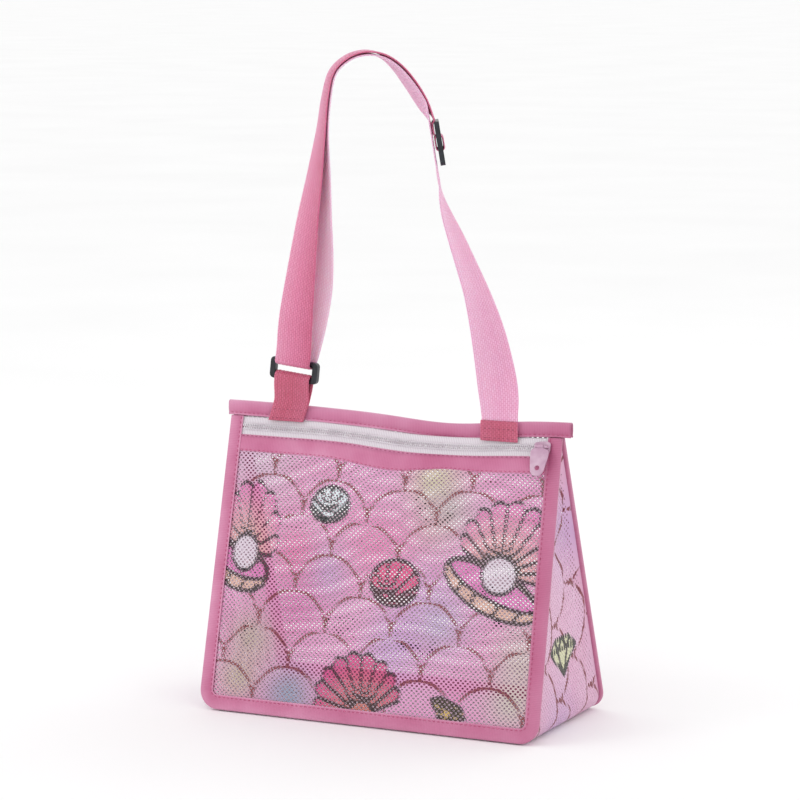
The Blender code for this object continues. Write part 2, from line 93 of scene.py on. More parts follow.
# %% Colour and node helpers
def linear(web):
    """A colour like #e07ba6 as linear red, green, blue and alpha."""
    parts = [int(web[i:i + 2], 16) / 255 for i in (1, 3, 5)]
    return (*(p / 12.92 if p <= 0.04045 else ((p + 0.055) / 1.055) ** 2.4 for p in parts), 1.0)


def feed(tree, socket, value):
    """Sets an input socket, or links it from a socket or from a node's first output."""
    if isinstance(value, bpy.types.Node):
        value = next(out for out in value.outputs if out.enabled)
    if isinstance(value, bpy.types.NodeSocket):
        tree.links.new(value, socket)
    else:
        socket.default_value = value


def add_node(tree, kind, inputs=None, stops=(), **settings):
    """Adds a node with its settings and links. Stops are a colour ramp's (position, web) pairs."""
    made = tree.nodes.new("ShaderNode" + kind)
    for name, value in settings.items():
        setattr(made, name, value)
    for key, value in (inputs or {}).items():
        feed(tree, made.inputs[key], value)
    if stops:
        elements = made.color_ramp.elements
        while len(elements) < len(stops):
            elements.new(0.5)
        for element, (position, web) in zip(elements, stops):
            element.position = position
            element.color = linear(web)
    return made


def new_material(name, **sockets):
    """A material with its shader's own sockets set: Sheen_Weight becomes Sheen Weight."""
    material = bpy.data.materials.new(name)
    material.use_nodes = True
    tree = material.node_tree
    shader = tree.nodes["Principled BSDF"]
    for socket, value in sockets.items():
        shader.inputs[socket.replace("_", " ")].default_value = value
    return material, tree, shader


def dress(tree, shader, colour, height, strength, depth, **below):
    """Links a colour, and a bump of that strength and depth, which may lie over one below."""
    feed(tree, shader.inputs["Base Color"], colour)
    bump = add_node(tree, "Bump", {"Height": height, "Strength": strength, "Distance": depth, **below})
    feed(tree, shader.inputs["Normal"], bump)


def mottled(name, spot, detail, stops, strength, **sockets):
    """A material whose colour and height drift in soft spots of one size."""
    material, tree, shader = new_material(name, **sockets)
    place = add_node(tree, "TexCoord").outputs["Object"]
    spots = add_node(tree, "TexNoise", {"Vector": place, "Scale": 1 / spot, "Detail": detail})
    dress(tree, shader, add_node(tree, "ValToRGB", {"Fac": spots}, stops), spots, strength, 0.1 * MM)
    return material, tree, shader


# %% Floor and lights
paper, tree, shader = new_material("matt_white_paper", Roughness=0.9)
grain = add_node(tree, "TexNoise", {"Scale": 400.0, "Detail": 2.0})
whites = add_node(tree, "ValToRGB", {"Fac": grain}, ((0.3, "#f8f8f8"), (0.7, "#fbfbfb")))
feed(tree, shader.inputs["Base Color"], whites)
work = bmesh.new()
bmesh.ops.create_grid(work, x_segments=2, y_segments=2, size=60.0)
floor_mesh = bpy.data.meshes.new("floor")
work.to_mesh(floor_mesh)
work.free()
floor_mesh.materials.append(paper)
floor = bpy.data.objects.new("floor", floor_mesh)
floor.location.z = -0.0002
bpy.context.scene.collection.objects.link(floor)

world = bpy.data.worlds.new("studio")
world.use_nodes = True
background = world.node_tree.nodes["Background"].inputs
background["Color"].default_value = (1.0, 1.0, 1.0, 1.0)
background["Strength"].default_value = 1.02
bpy.context.scene.world = world


def area_light(name, location, size, power):
    """A square soft box that looks at the middle of the bag."""
    data = bpy.data.lights.new(name, "AREA")
    data.size = size
    data.energy = power
    light = bpy.data.objects.new(name, data)
    light.location = location
    light.rotation_euler = (Vector((0, 0, 0.15)) - light.location).to_track_quat("-Z", "Y").to_euler()
    bpy.context.scene.collection.objects.link(light)


area_light("key_left", Vector((-1.1, -1.1, 1.2)), 0.7, 3.2)
area_light("fill_behind", Vector((0.8, 1.4, 1.0)), 1.2, 2.5)
print("floor, world and 2 soft lights")

# %% [markdown]
# ## Where the cloth lies
# The front and the back lean together like a tent. Each has its own flat frame: x across, y up the
# slope and z outwards, with its origin in the middle of the panel's lower edge. Cloth is made flat
# in that frame, as it is cut, and then placed, so that one set of lengths serves both panels.

# %% Panel frames
FOOT_Y, FOOT_Z = 55.352 * MM, 0.75 * MM
HINGE_Y, HINGE_Z = 1.5 * MM, 184.0 * MM
SLOPE = atan2(FOOT_Y - HINGE_Y, HINGE_Z - FOOT_Z)
RISE = hypot(FOOT_Y - HINGE_Y, HINGE_Z - FOOT_Z)
HALF_BOTTOM, HALF_TOP = 119.0 * MM, 117.0 * MM
CORNER = 13.0 * MM
BIND_WIDE, BIND_HALF = 9.5 * MM, 1.2 * MM
ZIP_UP = RISE - 6.7 * MM
HEM_TOP = ZIP_UP - 5.3 * MM
HEM_HIGH = 11.0 * MM

FRONT = Matrix.Translation((0, -FOOT_Y, FOOT_Z)) @ Matrix.Rotation(pi / 2 - SLOPE, 4, "X")
BACK = Matrix.Rotation(pi, 4, "Z") @ FRONT
print("slope", round(SLOPE * 180 / pi, 2), "degrees, rise", round(RISE / MM, 1), "mm")


def half_width(up):
    return HALF_BOTTOM + (HALF_TOP - HALF_BOTTOM) * up / RISE


def ease(x, low, high):
    """0 below low, 1 above high and a smooth turn between."""
    t = min(max((x - low) / (high - low), 0.0), 1.0)
    return t * t * (3 - 2 * t)


# %% [markdown]
# ## How the cloth hangs
# Empty cloth is never flat. The hem dips and rises where it was sewn a little too long, and each
# panel billows by a few millimetres between its bound edges. Two smooth functions give those
# moves, and every piece on a panel uses them, so that the pieces stay sewn together.

# %% Slack in the cloth
def sag(x):
    """How far the whole top edge sags right of the middle."""
    return -4.4 * MM * exp(-((x / MM - 38) / 42) ** 2)


def slack(x, up):
    """How far a point of the front hangs below or above its place, in metres."""
    dip = -3.6 * exp(-((x / MM + 4) / 27) ** 2) + 2.4 * exp(-((x / MM - 40) / 22) ** 2)
    much = ease(up, 60 * MM, 158 * MM) - 0.72 * ease(up, HEM_TOP - 9 * MM, HEM_TOP + 2 * MM)
    return dip * much * MM + sag(x) * ease(up, 105 * MM, 178 * MM)


def billow(x, up, phase):
    """How far a panel's cloth stands out of its plane."""
    a, b = x / half_width(up), up / RISE
    edge = (1 - min(abs(a), 1) ** 4) * (1 - (2 * min(max(b, 0), 1) - 1) ** 4)
    waves = 0.9 * sin(7.5 * a + 3 * b + phase) + 0.7 * sin(9 * b - 4 * a + 2 * phase)
    return (2.4 + waves) * edge * MM


def leant(place):
    """The empty bag leans a few millimetres to its left as it rises."""
    return place + Vector((1.5 * MM - 5.5 * MM * min(place.z / HINGE_Z, 1.0), 0, 0))


def on_front(x, up, out):
    return leant(FRONT @ Vector((x, up + slack(x, up), out + billow(x, up, 0.4))))


def on_back(x, up, out):
    return leant(BACK @ Vector((-x, up, out + billow(x, up, 2.1))))


def on_top(x, y, z):
    """The top binding dips and weaves a little along its length."""
    dip = sag(x) - 1.6 * MM * cos(x / (76 * MM)) ** 2
    return Vector((x - 2.2 * MM, y + 0.45 * MM * sin(x / (17 * MM)), z + dip * ease(z, 155 * MM, 185 * MM)))


print("the hem dips", round(-slack(-4 * MM, HEM_TOP - HEM_HIGH) / MM, 1), "mm")


# %% [markdown]
# ## Pieces, walls and swept bands
# Tapes, webbing and the zip's coil are all one section carried along a line. A grid of the right
# size is made first and each of its points is carried to its place on the line, which keeps the
# faces regular and leaves a flat map of the cloth behind. The map, in metres, carries the weave.

# %% Mesh helpers
def finish_piece(name, work, material, body, replaces=(), smooth=True):
    """Turns a bmesh into a piece that rides on a body."""
    mesh = bpy.data.meshes.new(name)
    work.to_mesh(mesh)
    work.free()
    mesh.materials.append(material)
    mesh.polygons.foreach_set("use_smooth", [smooth] * len(mesh.polygons))
    piece = bpy.data.objects.new(name, mesh)
    bpy.context.scene.collection.objects.link(piece)
    if body:
        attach(piece, body)
    if replaces:
        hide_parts(*replaces)
    print(name, sum(len(f.vertices) - 2 for f in mesh.polygons), "triangles")
    return piece


def outwards(work):
    """All faces point out of the closed shape."""
    bmesh.ops.recalc_face_normals(work, faces=work.faces)
    if work.calc_volume(signed=True) < 0:
        bmesh.ops.reverse_faces(work, faces=work.faces)
    return work


def distances(points):
    """How far along a line each of its points lies."""
    run = [0.0]
    for a, b in zip(points, points[1:]):
        run.append(run[-1] + (b - a).length)
    return run


def headings(points):
    """The way an open line runs at each of its points."""
    after, before = [*points[1:], points[-1]], [points[0], *points[:-1]]
    return [(b - a).normalized() for a, b in zip(before, after)]


def facing(a, b, c):
    """The turn that takes the x, y and z ways to these three."""
    return Matrix((a, b, c)).transposed().to_4x4()


def sweep(stations, section, closed=False):
    """Carries a section of (across, out) points along stations of (place, across, out)."""
    along, around = len(stations) - 1, len(section) - 1
    run, lap = distances([place for place, _, _ in stations]), distances([Vector(q) for q in section])
    work = bmesh.new()
    bmesh.ops.create_grid(work, x_segments=along, y_segments=around, size=0.5)
    spot = {v: (round((v.co.x + 0.5) * along), round((v.co.y + 0.5) * around)) for v in work.verts}
    cloth = work.loops.layers.uv.new("cloth")
    for face in work.faces:
        for loop in face.loops:
            i, j = spot[loop.vert]
            loop[cloth].uv = (run[i], lap[j])
    for v, (i, j) in spot.items():
        place, across, out = stations[i]
        v.co = place + across * section[j][0] + out * section[j][1]
    if closed:
        bmesh.ops.remove_doubles(work, verts=work.verts, dist=0.001 * MM)
        bmesh.ops.holes_fill(work, edges=[e for e in work.edges if e.is_boundary], sides=0)
    return outwards(work)


def give_wall(work, thickness):
    """Gives an open sheet its thickness."""
    bmesh.ops.solidify(work, geom=work.faces[:], thickness=thickness)
    return outwards(work)


# %% [markdown]
# ## Folded binding tape
# Polyester grosgrain tape, 22 mm wide, is folded in half over a raw edge and sewn through. New
# tape has a soft sheen. Its colour is painted with light and shade: a painted highlight on the
# folded edge where it catches the light and on the sewn edges, and painted shade where the seam
# presses it down and towards the right, away from the key light. Its fine ribs lie across it,
# 0.6 mm apart: drawn at 1.1 mm here, since finer ones would not show.

# %% Grosgrain tape material
def band_scale(period):
    """The wave texture's scale for bands that far apart, in metres."""
    return pi / 10 / period


def grosgrain(name, stops, length, shaded):
    """Ribbed tape. The stops are colours across the tape, whose section is that long, which paint
    its highlights and shade, and shaded is how much painted shade darkens it towards the right end,
    away from the key light."""
    material, tree, shader = new_material(
        name, Roughness=0.5, IOR=1.5, Sheen_Weight=0.15, Sheen_Roughness=0.4)
    cloth = add_node(tree, "UVMap", uv_map="cloth")
    ribs = add_node(tree, "TexWave", {"Vector": cloth, "Scale": band_scale(1.1 * MM)},
                    wave_type="BANDS", bands_direction="X", wave_profile="SIN")
    parts = add_node(tree, "SeparateXYZ", {"Vector": cloth})
    across = add_node(tree, "Math", {0: parts.outputs["Y"], 1: length}, operation="DIVIDE")
    # Painted highlight and shade across the tape: palest on the fold and the edges, darkest by the seams.
    tone = add_node(tree, "ValToRGB", {"Fac": across}, stops)
    place = add_node(tree, "TexCoord").outputs["Object"]
    patches = add_node(tree, "TexNoise", {"Vector": place, "Scale": 1 / (38 * MM), "Detail": 3.0})
    shade = add_node(tree, "ValToRGB", {"Fac": patches},
                     ((0.34, "#b9557f"), (0.5, "#cf7ba0"), (0.68, "#e6a8c6")))
    mixed = add_node(tree, "Mix", {"Factor": 0.38, "A": tone, "B": shade}, data_type="RGBA")
    side = add_node(tree, "SeparateXYZ", {"Vector": place})
    # Painted shade: the tape darkens towards +x, away from the key light.
    right_shade = add_node(tree, "MapRange", {"Value": side, "From Min": -60 * MM, "From Max": 112 * MM,
                                         "To Min": 0.0, "To Max": shaded})
    with_right_shade = add_node(tree, "Mix", {"Factor": right_shade, "A": mixed, "B": linear("#b0527a")}, data_type="RGBA")
    worn = add_node(tree, "Mix", {"Factor": 0.1, "A": with_right_shade, "B": ribs},
                    data_type="RGBA", blend_type="SOFT_LIGHT")
    creases = add_node(tree, "TexNoise", {"Vector": place, "Scale": 1 / (9 * MM), "Detail": 2.0})
    soft = add_node(tree, "Bump", {"Height": creases, "Strength": 0.55, "Distance": 2.2 * MM})
    dress(tree, shader, worn, ribs.outputs["Fac"], 0.4, 0.12 * MM, Normal=soft)
    return material


# The stops paint a highlight on the fold (0.5) and the edges and shade by the seams; 0.5 is the painted shade
# towards the right.
PINK_TAPE = grosgrain("grosgrain_binding_pink", (
    (0.0, "#dda3c0"), (0.05, "#cf83a6"), (0.12, "#bf6a90"), (0.26, "#c97b9f"), (0.42, "#d391b1"),
    (0.5, "#e6bdd2"), (0.58, "#d391b1"), (0.74, "#c97b9f"), (0.88, "#bf6a90"), (0.95, "#cf83a6")),
    21.8 * MM, 0.5)
print("binding tape")

# %% [markdown]
# ## The bound edges
# One length of tape runs down a side, round the two lower corners and up the other side of each
# panel. A shorter one closes the top. The section is drawn from one sewn edge, round the fold, to
# the other, with the tape pressed in where the seam goes through it. It is made as a sheet and
# then given the tape's own thickness, so it is hollow like the real one.

# %% Lines round a panel
HEIGHT = 194.0 * MM
TOP_HALF = 120.5 * MM


def spread(start, end, step):
    """Even values from start to end, about a step apart."""
    count = max(1, round(abs(end - start) / step))
    return [start + (end - start) * i / count for i in range(count + 1)]


def rim_stations(step=2.2 * MM):
    """Places round a panel's rim in its flat frame, with the way inwards and the way out."""
    flat = half_width(CORNER) - CORNER
    sides = [(Vector((half_width(up), up, 0)), -X_WAY, Z_WAY) for up in spread(RISE, CORNER, step)]
    turn = []
    for a in spread(0.0, -pi / 2, 0.16)[1:]:
        outwards_here = Vector((cos(a), sin(a), 0))
        turn.append((Vector((flat, CORNER, 0)) + CORNER * outwards_here, -outwards_here, Z_WAY))
    base = [(Vector((x, 0, 0)), Y_WAY, Z_WAY) for x in spread(flat, -flat, step)[1:-1]]

    def mirrored(line):
        return [(Vector((-p.x, p.y, 0)), Vector((-q.x, q.y, 0)), Z_WAY) for p, q, _ in reversed(line)]

    return [*sides, *turn, *base, *mirrored(turn), *mirrored(sides)]


def placed(work, where):
    for v in work.verts:
        v.co = where(*v.co)
    return work


def folded_section(wide, half, seam, press):
    """A tape folded over an edge: from one sewn edge round the fold to the other."""
    leg = [(wide, half - press * 0.2), (wide - 0.6 * MM, half - 0.05 * MM),
           (seam + 0.5 * MM, half - press * 0.5), (seam, half - press),
           (seam - 0.6 * MM, half - press * 0.4), (seam * 0.62, half + 0.12 * MM),
           (seam * 0.35, half), (half * 0.75, half * 0.96), (half * 0.28, half * 0.66), (0.0, half * 0.2)]
    return [*leg, *((a, -n) for a, n in reversed(leg))]


# %% Side and bottom bindings
TAPE_WALL = 0.45 * MM
SEAM = 7.9 * MM
RIM = rim_stations()
for name, where, body in (("front_bound_edge", on_front, "front"), ("back_bound_edge", on_back, "bag")):
    tape = sweep(RIM, folded_section(BIND_WIDE, BIND_HALF, SEAM, 0.4 * MM))
    placed(give_wall(tape, TAPE_WALL), where)
    finish_piece(name, tape, PINK_TAPE, body, [name.replace("bound_edge", "binding")])

# %% Top binding
top_line = [(Vector((x, 0, HEIGHT)), -Z_WAY, -Y_WAY) for x in spread(-TOP_HALF, TOP_HALF, 2 * MM)]
tape = sweep(top_line, folded_section(BIND_WIDE, 1.9 * MM, SEAM, 0.45 * MM))
placed(give_wall(tape, TAPE_WALL), on_top)
finish_piece("top_bound_edge", tape, PINK_TAPE, "bag", ["top_binding"])


# %% [markdown]
# ## Knitted net
# The cloth is a warp-knitted polyester net with a hole about every 3 mm, in staggered rows, and a
# little further apart on the back and the gusset, to keep each net light enough to handle. A
# triangle grid is the quickest way to that pattern: cutting each corner point off with a bevel
# leaves a six-sided face there, and taking that face away leaves a hole with yarns all round it.
# Holes stop under the bindings. The sheet gets its thickness while it is still flat.

# %% Net maker
YARN = 0.36 * MM


def knitted_net(low, high, pitch, hole, window, trims):
    """A flat net from corner low to corner high. Holes open where window(x, y) says so, and each
    trim is a (point, direction) pair that cuts away what lies beyond it."""
    columns = round((high[0] - low[0]) / pitch[0]) + 1
    rows = round((high[1] - low[1]) / (pitch[1] / 2))
    net = bmesh.new()
    bmesh.ops.create_grid(net, x_segments=columns, y_segments=rows, size=0.5)
    for v in net.verts:
        i, j = round((v.co.x + 0.5) * columns), round((v.co.y + 0.5) * rows)
        v.co = (low[0] + (i - 0.25 - 0.5 * (j % 2)) * pitch[0], low[1] + j * pitch[1] / 2, 0)
    bmesh.ops.triangulate(net, faces=net.faces[:], quad_method="SHORT_EDGE")
    open_here = [v for v in net.verts if not v.is_boundary and window(v.co.x, v.co.y)]
    cut = bmesh.ops.bevel(net, geom=open_here, offset=hole, offset_type="OFFSET", segments=1, profile=0.5,
                          affect="VERTICES", material=-1)
    bmesh.ops.delete(net, geom=cut["faces"], context="FACES_ONLY")
    for point, direction in trims:
        bmesh.ops.bisect_plane(net, geom=net.verts[:] + net.edges[:] + net.faces[:], plane_co=(*point, 0),
                               plane_no=(*direction, 0), clear_outer=True)
    for v in net.verts:
        v.co.z = -YARN / 2
    bmesh.ops.solidify(net, geom=net.faces[:], thickness=-YARN)
    middle = (min(v.co.z for v in net.verts) + max(v.co.z for v in net.verts)) / 2
    for v in net.verts:
        v.co.z -= middle
    print(len(open_here), "holes")
    return outwards(net)


# %% [markdown]
# ## The print
# The print is a row of round fish scales with line-drawn shells, pearls and cut gems over them,
# in washed pinks, lilacs, greys and greens. It is printed on the yarns, so it is worked out at
# every point of the net in millimetres of flat cloth: the colour of the wash, and how far the
# nearest scale outline and the nearest black line are. A line takes whole holes, with the yarns
# round them, so it shows as a chain of beads. Ink hardly reaches the inside, which stays pale.

# %% Drawing tools for the print
FAR = 99.0
INKED = 1.05


def rgb(web):
    return np.array(linear(web)[:3])


class Print:
    """The print at many points at once: wash colour, scale-outline distance and ink distance."""

    def __init__(self, x, y):
        self.x, self.y = x, y
        self.ink = np.full(len(x), FAR)
        self.scales()

    def scales(self, radius=23.5, rise=24.6, start=(13.2, 32.0)):
        """Rows of round fish scales, each a little darker at its foot."""
        x, y = self.x - start[0], self.y - start[1]
        row = np.floor(y / rise)
        up = (y - row * rise) / rise * radius
        shift = (row % 2) * radius
        centre = np.round((x - shift) / (2 * radius)) * 2 * radius + shift
        reach = np.hypot(x - centre, up)
        self.outline = np.abs(reach - radius)
        height = np.where(reach < radius, up / radius, up / radius - 1)
        scale_number = np.where(reach < radius, centre + row, centre - row)
        lot = np.abs(np.sin(scale_number * 12.9898) * 43758.5453) % 1.0
        self.wash = rgb("#dfa6cb")
        self.tint(np.clip(0.45 - 0.4 * height + 0.4 * (lot - 0.5), 0, 1), "#d987b4")

    def turned(self, x, y, turn):
        """The points as seen from (x, y), after a turn in degrees."""
        c, s = cos(radians(turn)), sin(radians(turn))
        return (self.x - x) * c + (self.y - y) * s, (self.y - y) * c - (self.x - x) * s

    def tint(self, share, web):
        """Mixes a share of another colour into the wash."""
        self.wash = self.wash * (1 - share[:, None]) + rgb(web) * share[:, None]

    def patch(self, x, y, size, web, strength):
        """A soft spot of another colour, which bleeds over the scales."""
        self.tint(strength * np.exp(-((self.x - x) ** 2 + (self.y - y) ** 2) / size ** 2), web)

    def lay(self, inside, edge, colour):
        """Paints a shape and keeps only its own lines inside it."""
        self.wash = np.where(inside[:, None], colour, self.wash)
        self.outline = np.where(inside | (edge < 1.4), FAR, self.outline)
        self.ink = np.where(inside, edge, np.minimum(self.ink, edge))

    def strokes(self, *lines):
        """Black lines from point to point."""
        for (ax, ay), (bx, by) in lines:
            wide, high = bx - ax, by - ay
            t = np.clip(((self.x - ax) * wide + (self.y - ay) * high) / (wide ** 2 + high ** 2), 0, 1)
            self.ink = np.minimum(self.ink, np.hypot(self.x - ax - t * wide, self.y - ay - t * high))

    def fan(self, x, y, turn, radius, spread_deg, ribs, inner="#c97a70", outer="#d04a8c",
            squeeze=1.0, droop=0.3):
        """A scallop shell: ribs spread from a point, each with a round end."""
        dx, dy = (self.x - x) / squeeze, self.y - y
        angle = (np.degrees(np.arctan2(dy, dx)) - turn + 180) % 360 - 180
        reach = np.hypot(dx, dy)
        pitch = 2 * spread_deg / ribs
        part = (angle / pitch + ribs / 2) % 1.0
        rim = radius * (1 - 0.1 * (2 * part - 1) ** 2) * (1 - droop * (angle / spread_deg) ** 2)
        within = np.abs(angle) < spread_deg
        inside = within & (reach < rim)
        narrow = np.minimum(squeeze * np.abs(dy) / reach + np.abs(dx) / reach, 1)
        rib = INKED * np.minimum(part, 1 - part) * np.radians(pitch) * reach * narrow
        rib = np.where(reach < 7, FAR, rib)
        edge = np.where(inside, np.minimum(rib, rim - reach), np.where(within, reach - rim, FAR))
        side = reach * np.sin(np.radians(np.clip(np.abs(angle) - spread_deg, 0, 90)))
        beside = ~within & (np.abs(angle) < spread_deg + 60) & (reach < radius * (1 - droop))
        edge = np.where(beside, side, edge)
        share = np.clip(1.3 * reach / radius - 0.2, 0, 1)[:, None]
        self.lay(inside, edge, rgb(inner) * (1 - share) + rgb(outer) * share)

    def disc(self, x, y, wide, high, turn, web):
        """An ellipse: a pearl, or the lip of a shell."""
        dx, dy = self.turned(x, y, turn)
        reach = np.hypot(dx / wide, dy / high)
        slope = np.hypot(dx / wide ** 2, dy / high ** 2) / np.maximum(reach, 1e-6)
        self.lay(reach < 1, np.abs(reach - 1) / np.maximum(slope, 1e-6), rgb(web))

    def clam(self, x, y, size, squeeze, side, ribs=10):
        """An open shell with a pearl between its halves. Its lower half tips down to one side."""
        def at(dx, dy):
            return x + dx * size * squeeze * side, y + dy * size
        narrow = squeeze ** 0.5
        self.fan(x, y, 90 - 18 * side * squeeze, 48.5 * size, 80, ribs, "#d9b29f", "#db7fb6", squeeze, 0.33)
        self.disc(*at(-5, -10), 35 * size * squeeze, 14.5 * size, -22 * side * narrow, "#d8b1a2")
        self.strokes((at(-27, -11), at(-24, -2)), (at(-17, -21), at(-16, -11)), (at(-2, -25.5), at(2, -18)),
                     (at(13, -26), at(17, -21)))
        self.disc(*at(-4, -7), 32.5 * size * squeeze, 8.6 * size, -22 * side * narrow, "#d97cb8")
        self.disc(x, y, 12 * size * narrow, 12 * size, 0, "#d9cdd8")

    def shell(self, x, y, wide, high, turn, foot, ribs=7, inner="#d8557f", outer="#d94f86"):
        """A closed oval shell: ribs spread over it from a point at its foot, where its rim is thick."""
        before = self.ink
        self.disc(x, y, wide, high, turn, inner)
        dx, dy = self.turned(x, y, turn)
        oval = np.hypot(dx / wide, dy / high)
        fx, fy = x + 0.95 * wide * cos(radians(foot)), y + 0.95 * high * sin(radians(foot))
        angle = (np.degrees(np.arctan2(self.y - fy, self.x - fx)) - foot + 360) % 360 - 180
        reach = np.hypot(self.x - fx, self.y - fy)
        pitch = 140 / ribs
        rib = INKED * np.abs((angle / pitch + 0.5) % 1.0 - 0.5) * np.radians(pitch) * reach
        low = np.where((self.y - y) * sin(radians(foot)) > 0.2 * high, np.abs(oval - 0.8) * high, FAR)
        lines = np.minimum(np.where(reach < 0.35 * wide, FAR, rib), low)
        self.ink = np.where(oval < 1, np.minimum(self.ink, lines), np.minimum(before, self.ink))
        self.tint((oval < 1) * (0.5 + 0.5 * np.cos(np.radians(angle * 2.2))), outer)

    def gem(self, x, y, wide, turn, web="#cdb06a", tall=0.8):
        """A cut stone: a flat table above and a point below, joined by facets."""
        c, s = cos(radians(turn)), sin(radians(turn))

        def at(dx, dy):
            return x + (dx * c - dy * tall * s) * wide, y + (dx * s + dy * tall * c) * wide
        rim = [at(*q) for q in ((-0.5, 0.1), (-0.28, 0.32), (0.28, 0.32), (0.5, 0.1), (0.0, -0.42))]
        sides = list(zip(rim, rim[1:] + rim[:1]))
        left, middle, right = at(-0.2, 0.1), at(0, 0.32), at(0.2, 0.1)
        crosses = [(bx - ax) * (self.y - ay) - (by - ay) * (self.x - ax) for (ax, ay), (bx, by) in sides]
        self.lay(np.max(crosses, axis=0) < 0, np.full(len(self.x), FAR), rgb(web))
        self.strokes(*sides, (rim[0], rim[3]), (rim[1], left), (rim[2], right),
                     (left, middle), (right, middle), (left, rim[4]), (right, rim[4]))


# %% The panels' drawings
PATCHES = (
    (34, 160, 17, "#c6d09b", 0.75), (45, 139, 18, "#b4b3ab", 0.7), (34, 127, 14, "#c9a79f", 0.5),
    (35, 80, 26, "#c6a3d2", 0.6), (22, 64, 16, "#c9a0cf", 0.6), (47, 68, 17, "#b6aac8", 0.75),
    (105, 69, 16, "#cda9b3", 0.6), (103, 48, 16, "#c8c0b4", 0.85), (99, 24, 17, "#c9c2b6", 0.9),
    (-84, 48, 17, "#b3ab93", 0.8), (-92, 22, 15, "#b8b092", 0.8), (-55, 14, 17, "#8f9db4", 0.95),
    (14, 47, 18, "#c29ecf", 0.7), (-38, 95, 17, "#b6a2cc", 0.8), (-55, 72, 20, "#cf6ba8", 0.75),
    (-58, 106, 18, "#d9659b", 0.7), (-2, 116, 24, "#dd74a8", 0.7), (-92, 163, 26, "#cfc3cf", 0.6))


def front_print(p):
    for patch in PATCHES:
        p.patch(*patch)
    p.clam(-95.5, 102.5, 0.98, 0.64, 1, 7)
    p.clam(83.6, 102, 1.0, 1.0, 1)
    p.shell(-37.6, 138.5, 14.2, 11.2, 22, 265, 7, "#cfdde2", "#dfe9ec")
    p.shell(12.6, 92, 16.5, 15.0, -8, 248)
    p.fan(-2.2, 6.5, 112, 40, 88, 10)
    p.gem(56, 14.5, 25.5, -22)


def back_print(p):
    for x, y, size, web, strength in PATCHES:
        p.patch(-0.9 * x, 190 - y, size, web, strength)
    p.clam(64, 58, 0.95, 1.0, -1)
    p.fan(-70, 112, 100, 36, 80, 9)
    p.shell(18, 134, 15, 12, 20, 250, 8, "#c9dbe0", "#dbe6ea")
    p.shell(-12, 34, 15, 13, -8, 248, 8)
    p.gem(-66, 40, 25, 14)


def gusset_print(p):
    p.wash = p.wash * 0.75 + 0.2
    for x in (-215, -120, 30, 112, 236):
        p.patch(x, 14 - x % 29, 24, "#c2a0cf", 0.6)
    p.gem(158, -1, 40, -90, "#d6d8b0")
    p.fan(-200, 4, 4, 28, 70, 8)
    p.gem(-150, 4, 30, 90)
    p.clam(-30, -6, 0.7, 1.0, 1)


# %% Print on a net
def nearest_hole(flat, low, pitch):
    """The middle of the hole nearest to each flat point, in the net's staggered rows."""
    row = np.round((flat[:, 1] - low[1]) / (pitch[1] / 2))
    best, found = np.full(len(flat), np.inf), np.zeros((len(flat), 2))
    for step in (-1, 0, 1):
        j = row + step
        shift = 0.25 + 0.5 * (j % 2)
        x = low[0] + (np.round((flat[:, 0] - low[0]) / pitch[0] + shift) - shift) * pitch[0]
        y = low[1] + j * pitch[1] / 2
        away = np.hypot(flat[:, 0] - x, flat[:, 1] - y)
        closer = away < best
        best = np.where(closer, away, best)
        found[closer] = np.stack([x, y], 1)[closer]
    return found


def print_on(mesh, flat, low, pitch, inner, design):
    """Stores the print as attributes. Flat places are in metres, and inner marks the inside. A
    line takes whole holes: every point round a hole gets the distances at the hole's middle."""
    washed = Print(flat[:, 0] / MM, flat[:, 1] / MM)
    holes = nearest_hole(flat, low, pitch)
    lined = Print(holes[:, 0] / MM, holes[:, 1] / MM)
    design(washed)
    design(lined)
    pale = np.where(inner, 0.9, 0.0)[:, None]
    colour = np.ones((len(flat), 4), np.float32)
    colour[:, :3] = washed.wash * (1 - pale) + np.array([0.93, 0.85, 0.9]) * pale
    mesh.attributes.new("wash", "FLOAT_COLOR", "POINT").data.foreach_set("color", colour.ravel())
    for name, values in (("outline", lined.outline), ("ink", lined.ink)):
        far = np.where(inner, values + 0.7, values).astype(np.float32)
        mesh.attributes.new(name, "FLOAT", "POINT").data.foreach_set("value", np.minimum(far, 4.0))


# %% [markdown]
# ## Printed polyester net
# Warp-knitted polyester, heat-printed on its outer side. The yarns are smooth filaments with a
# faint sheen, and the ink edges are a little ragged because each yarn takes the ink by itself.

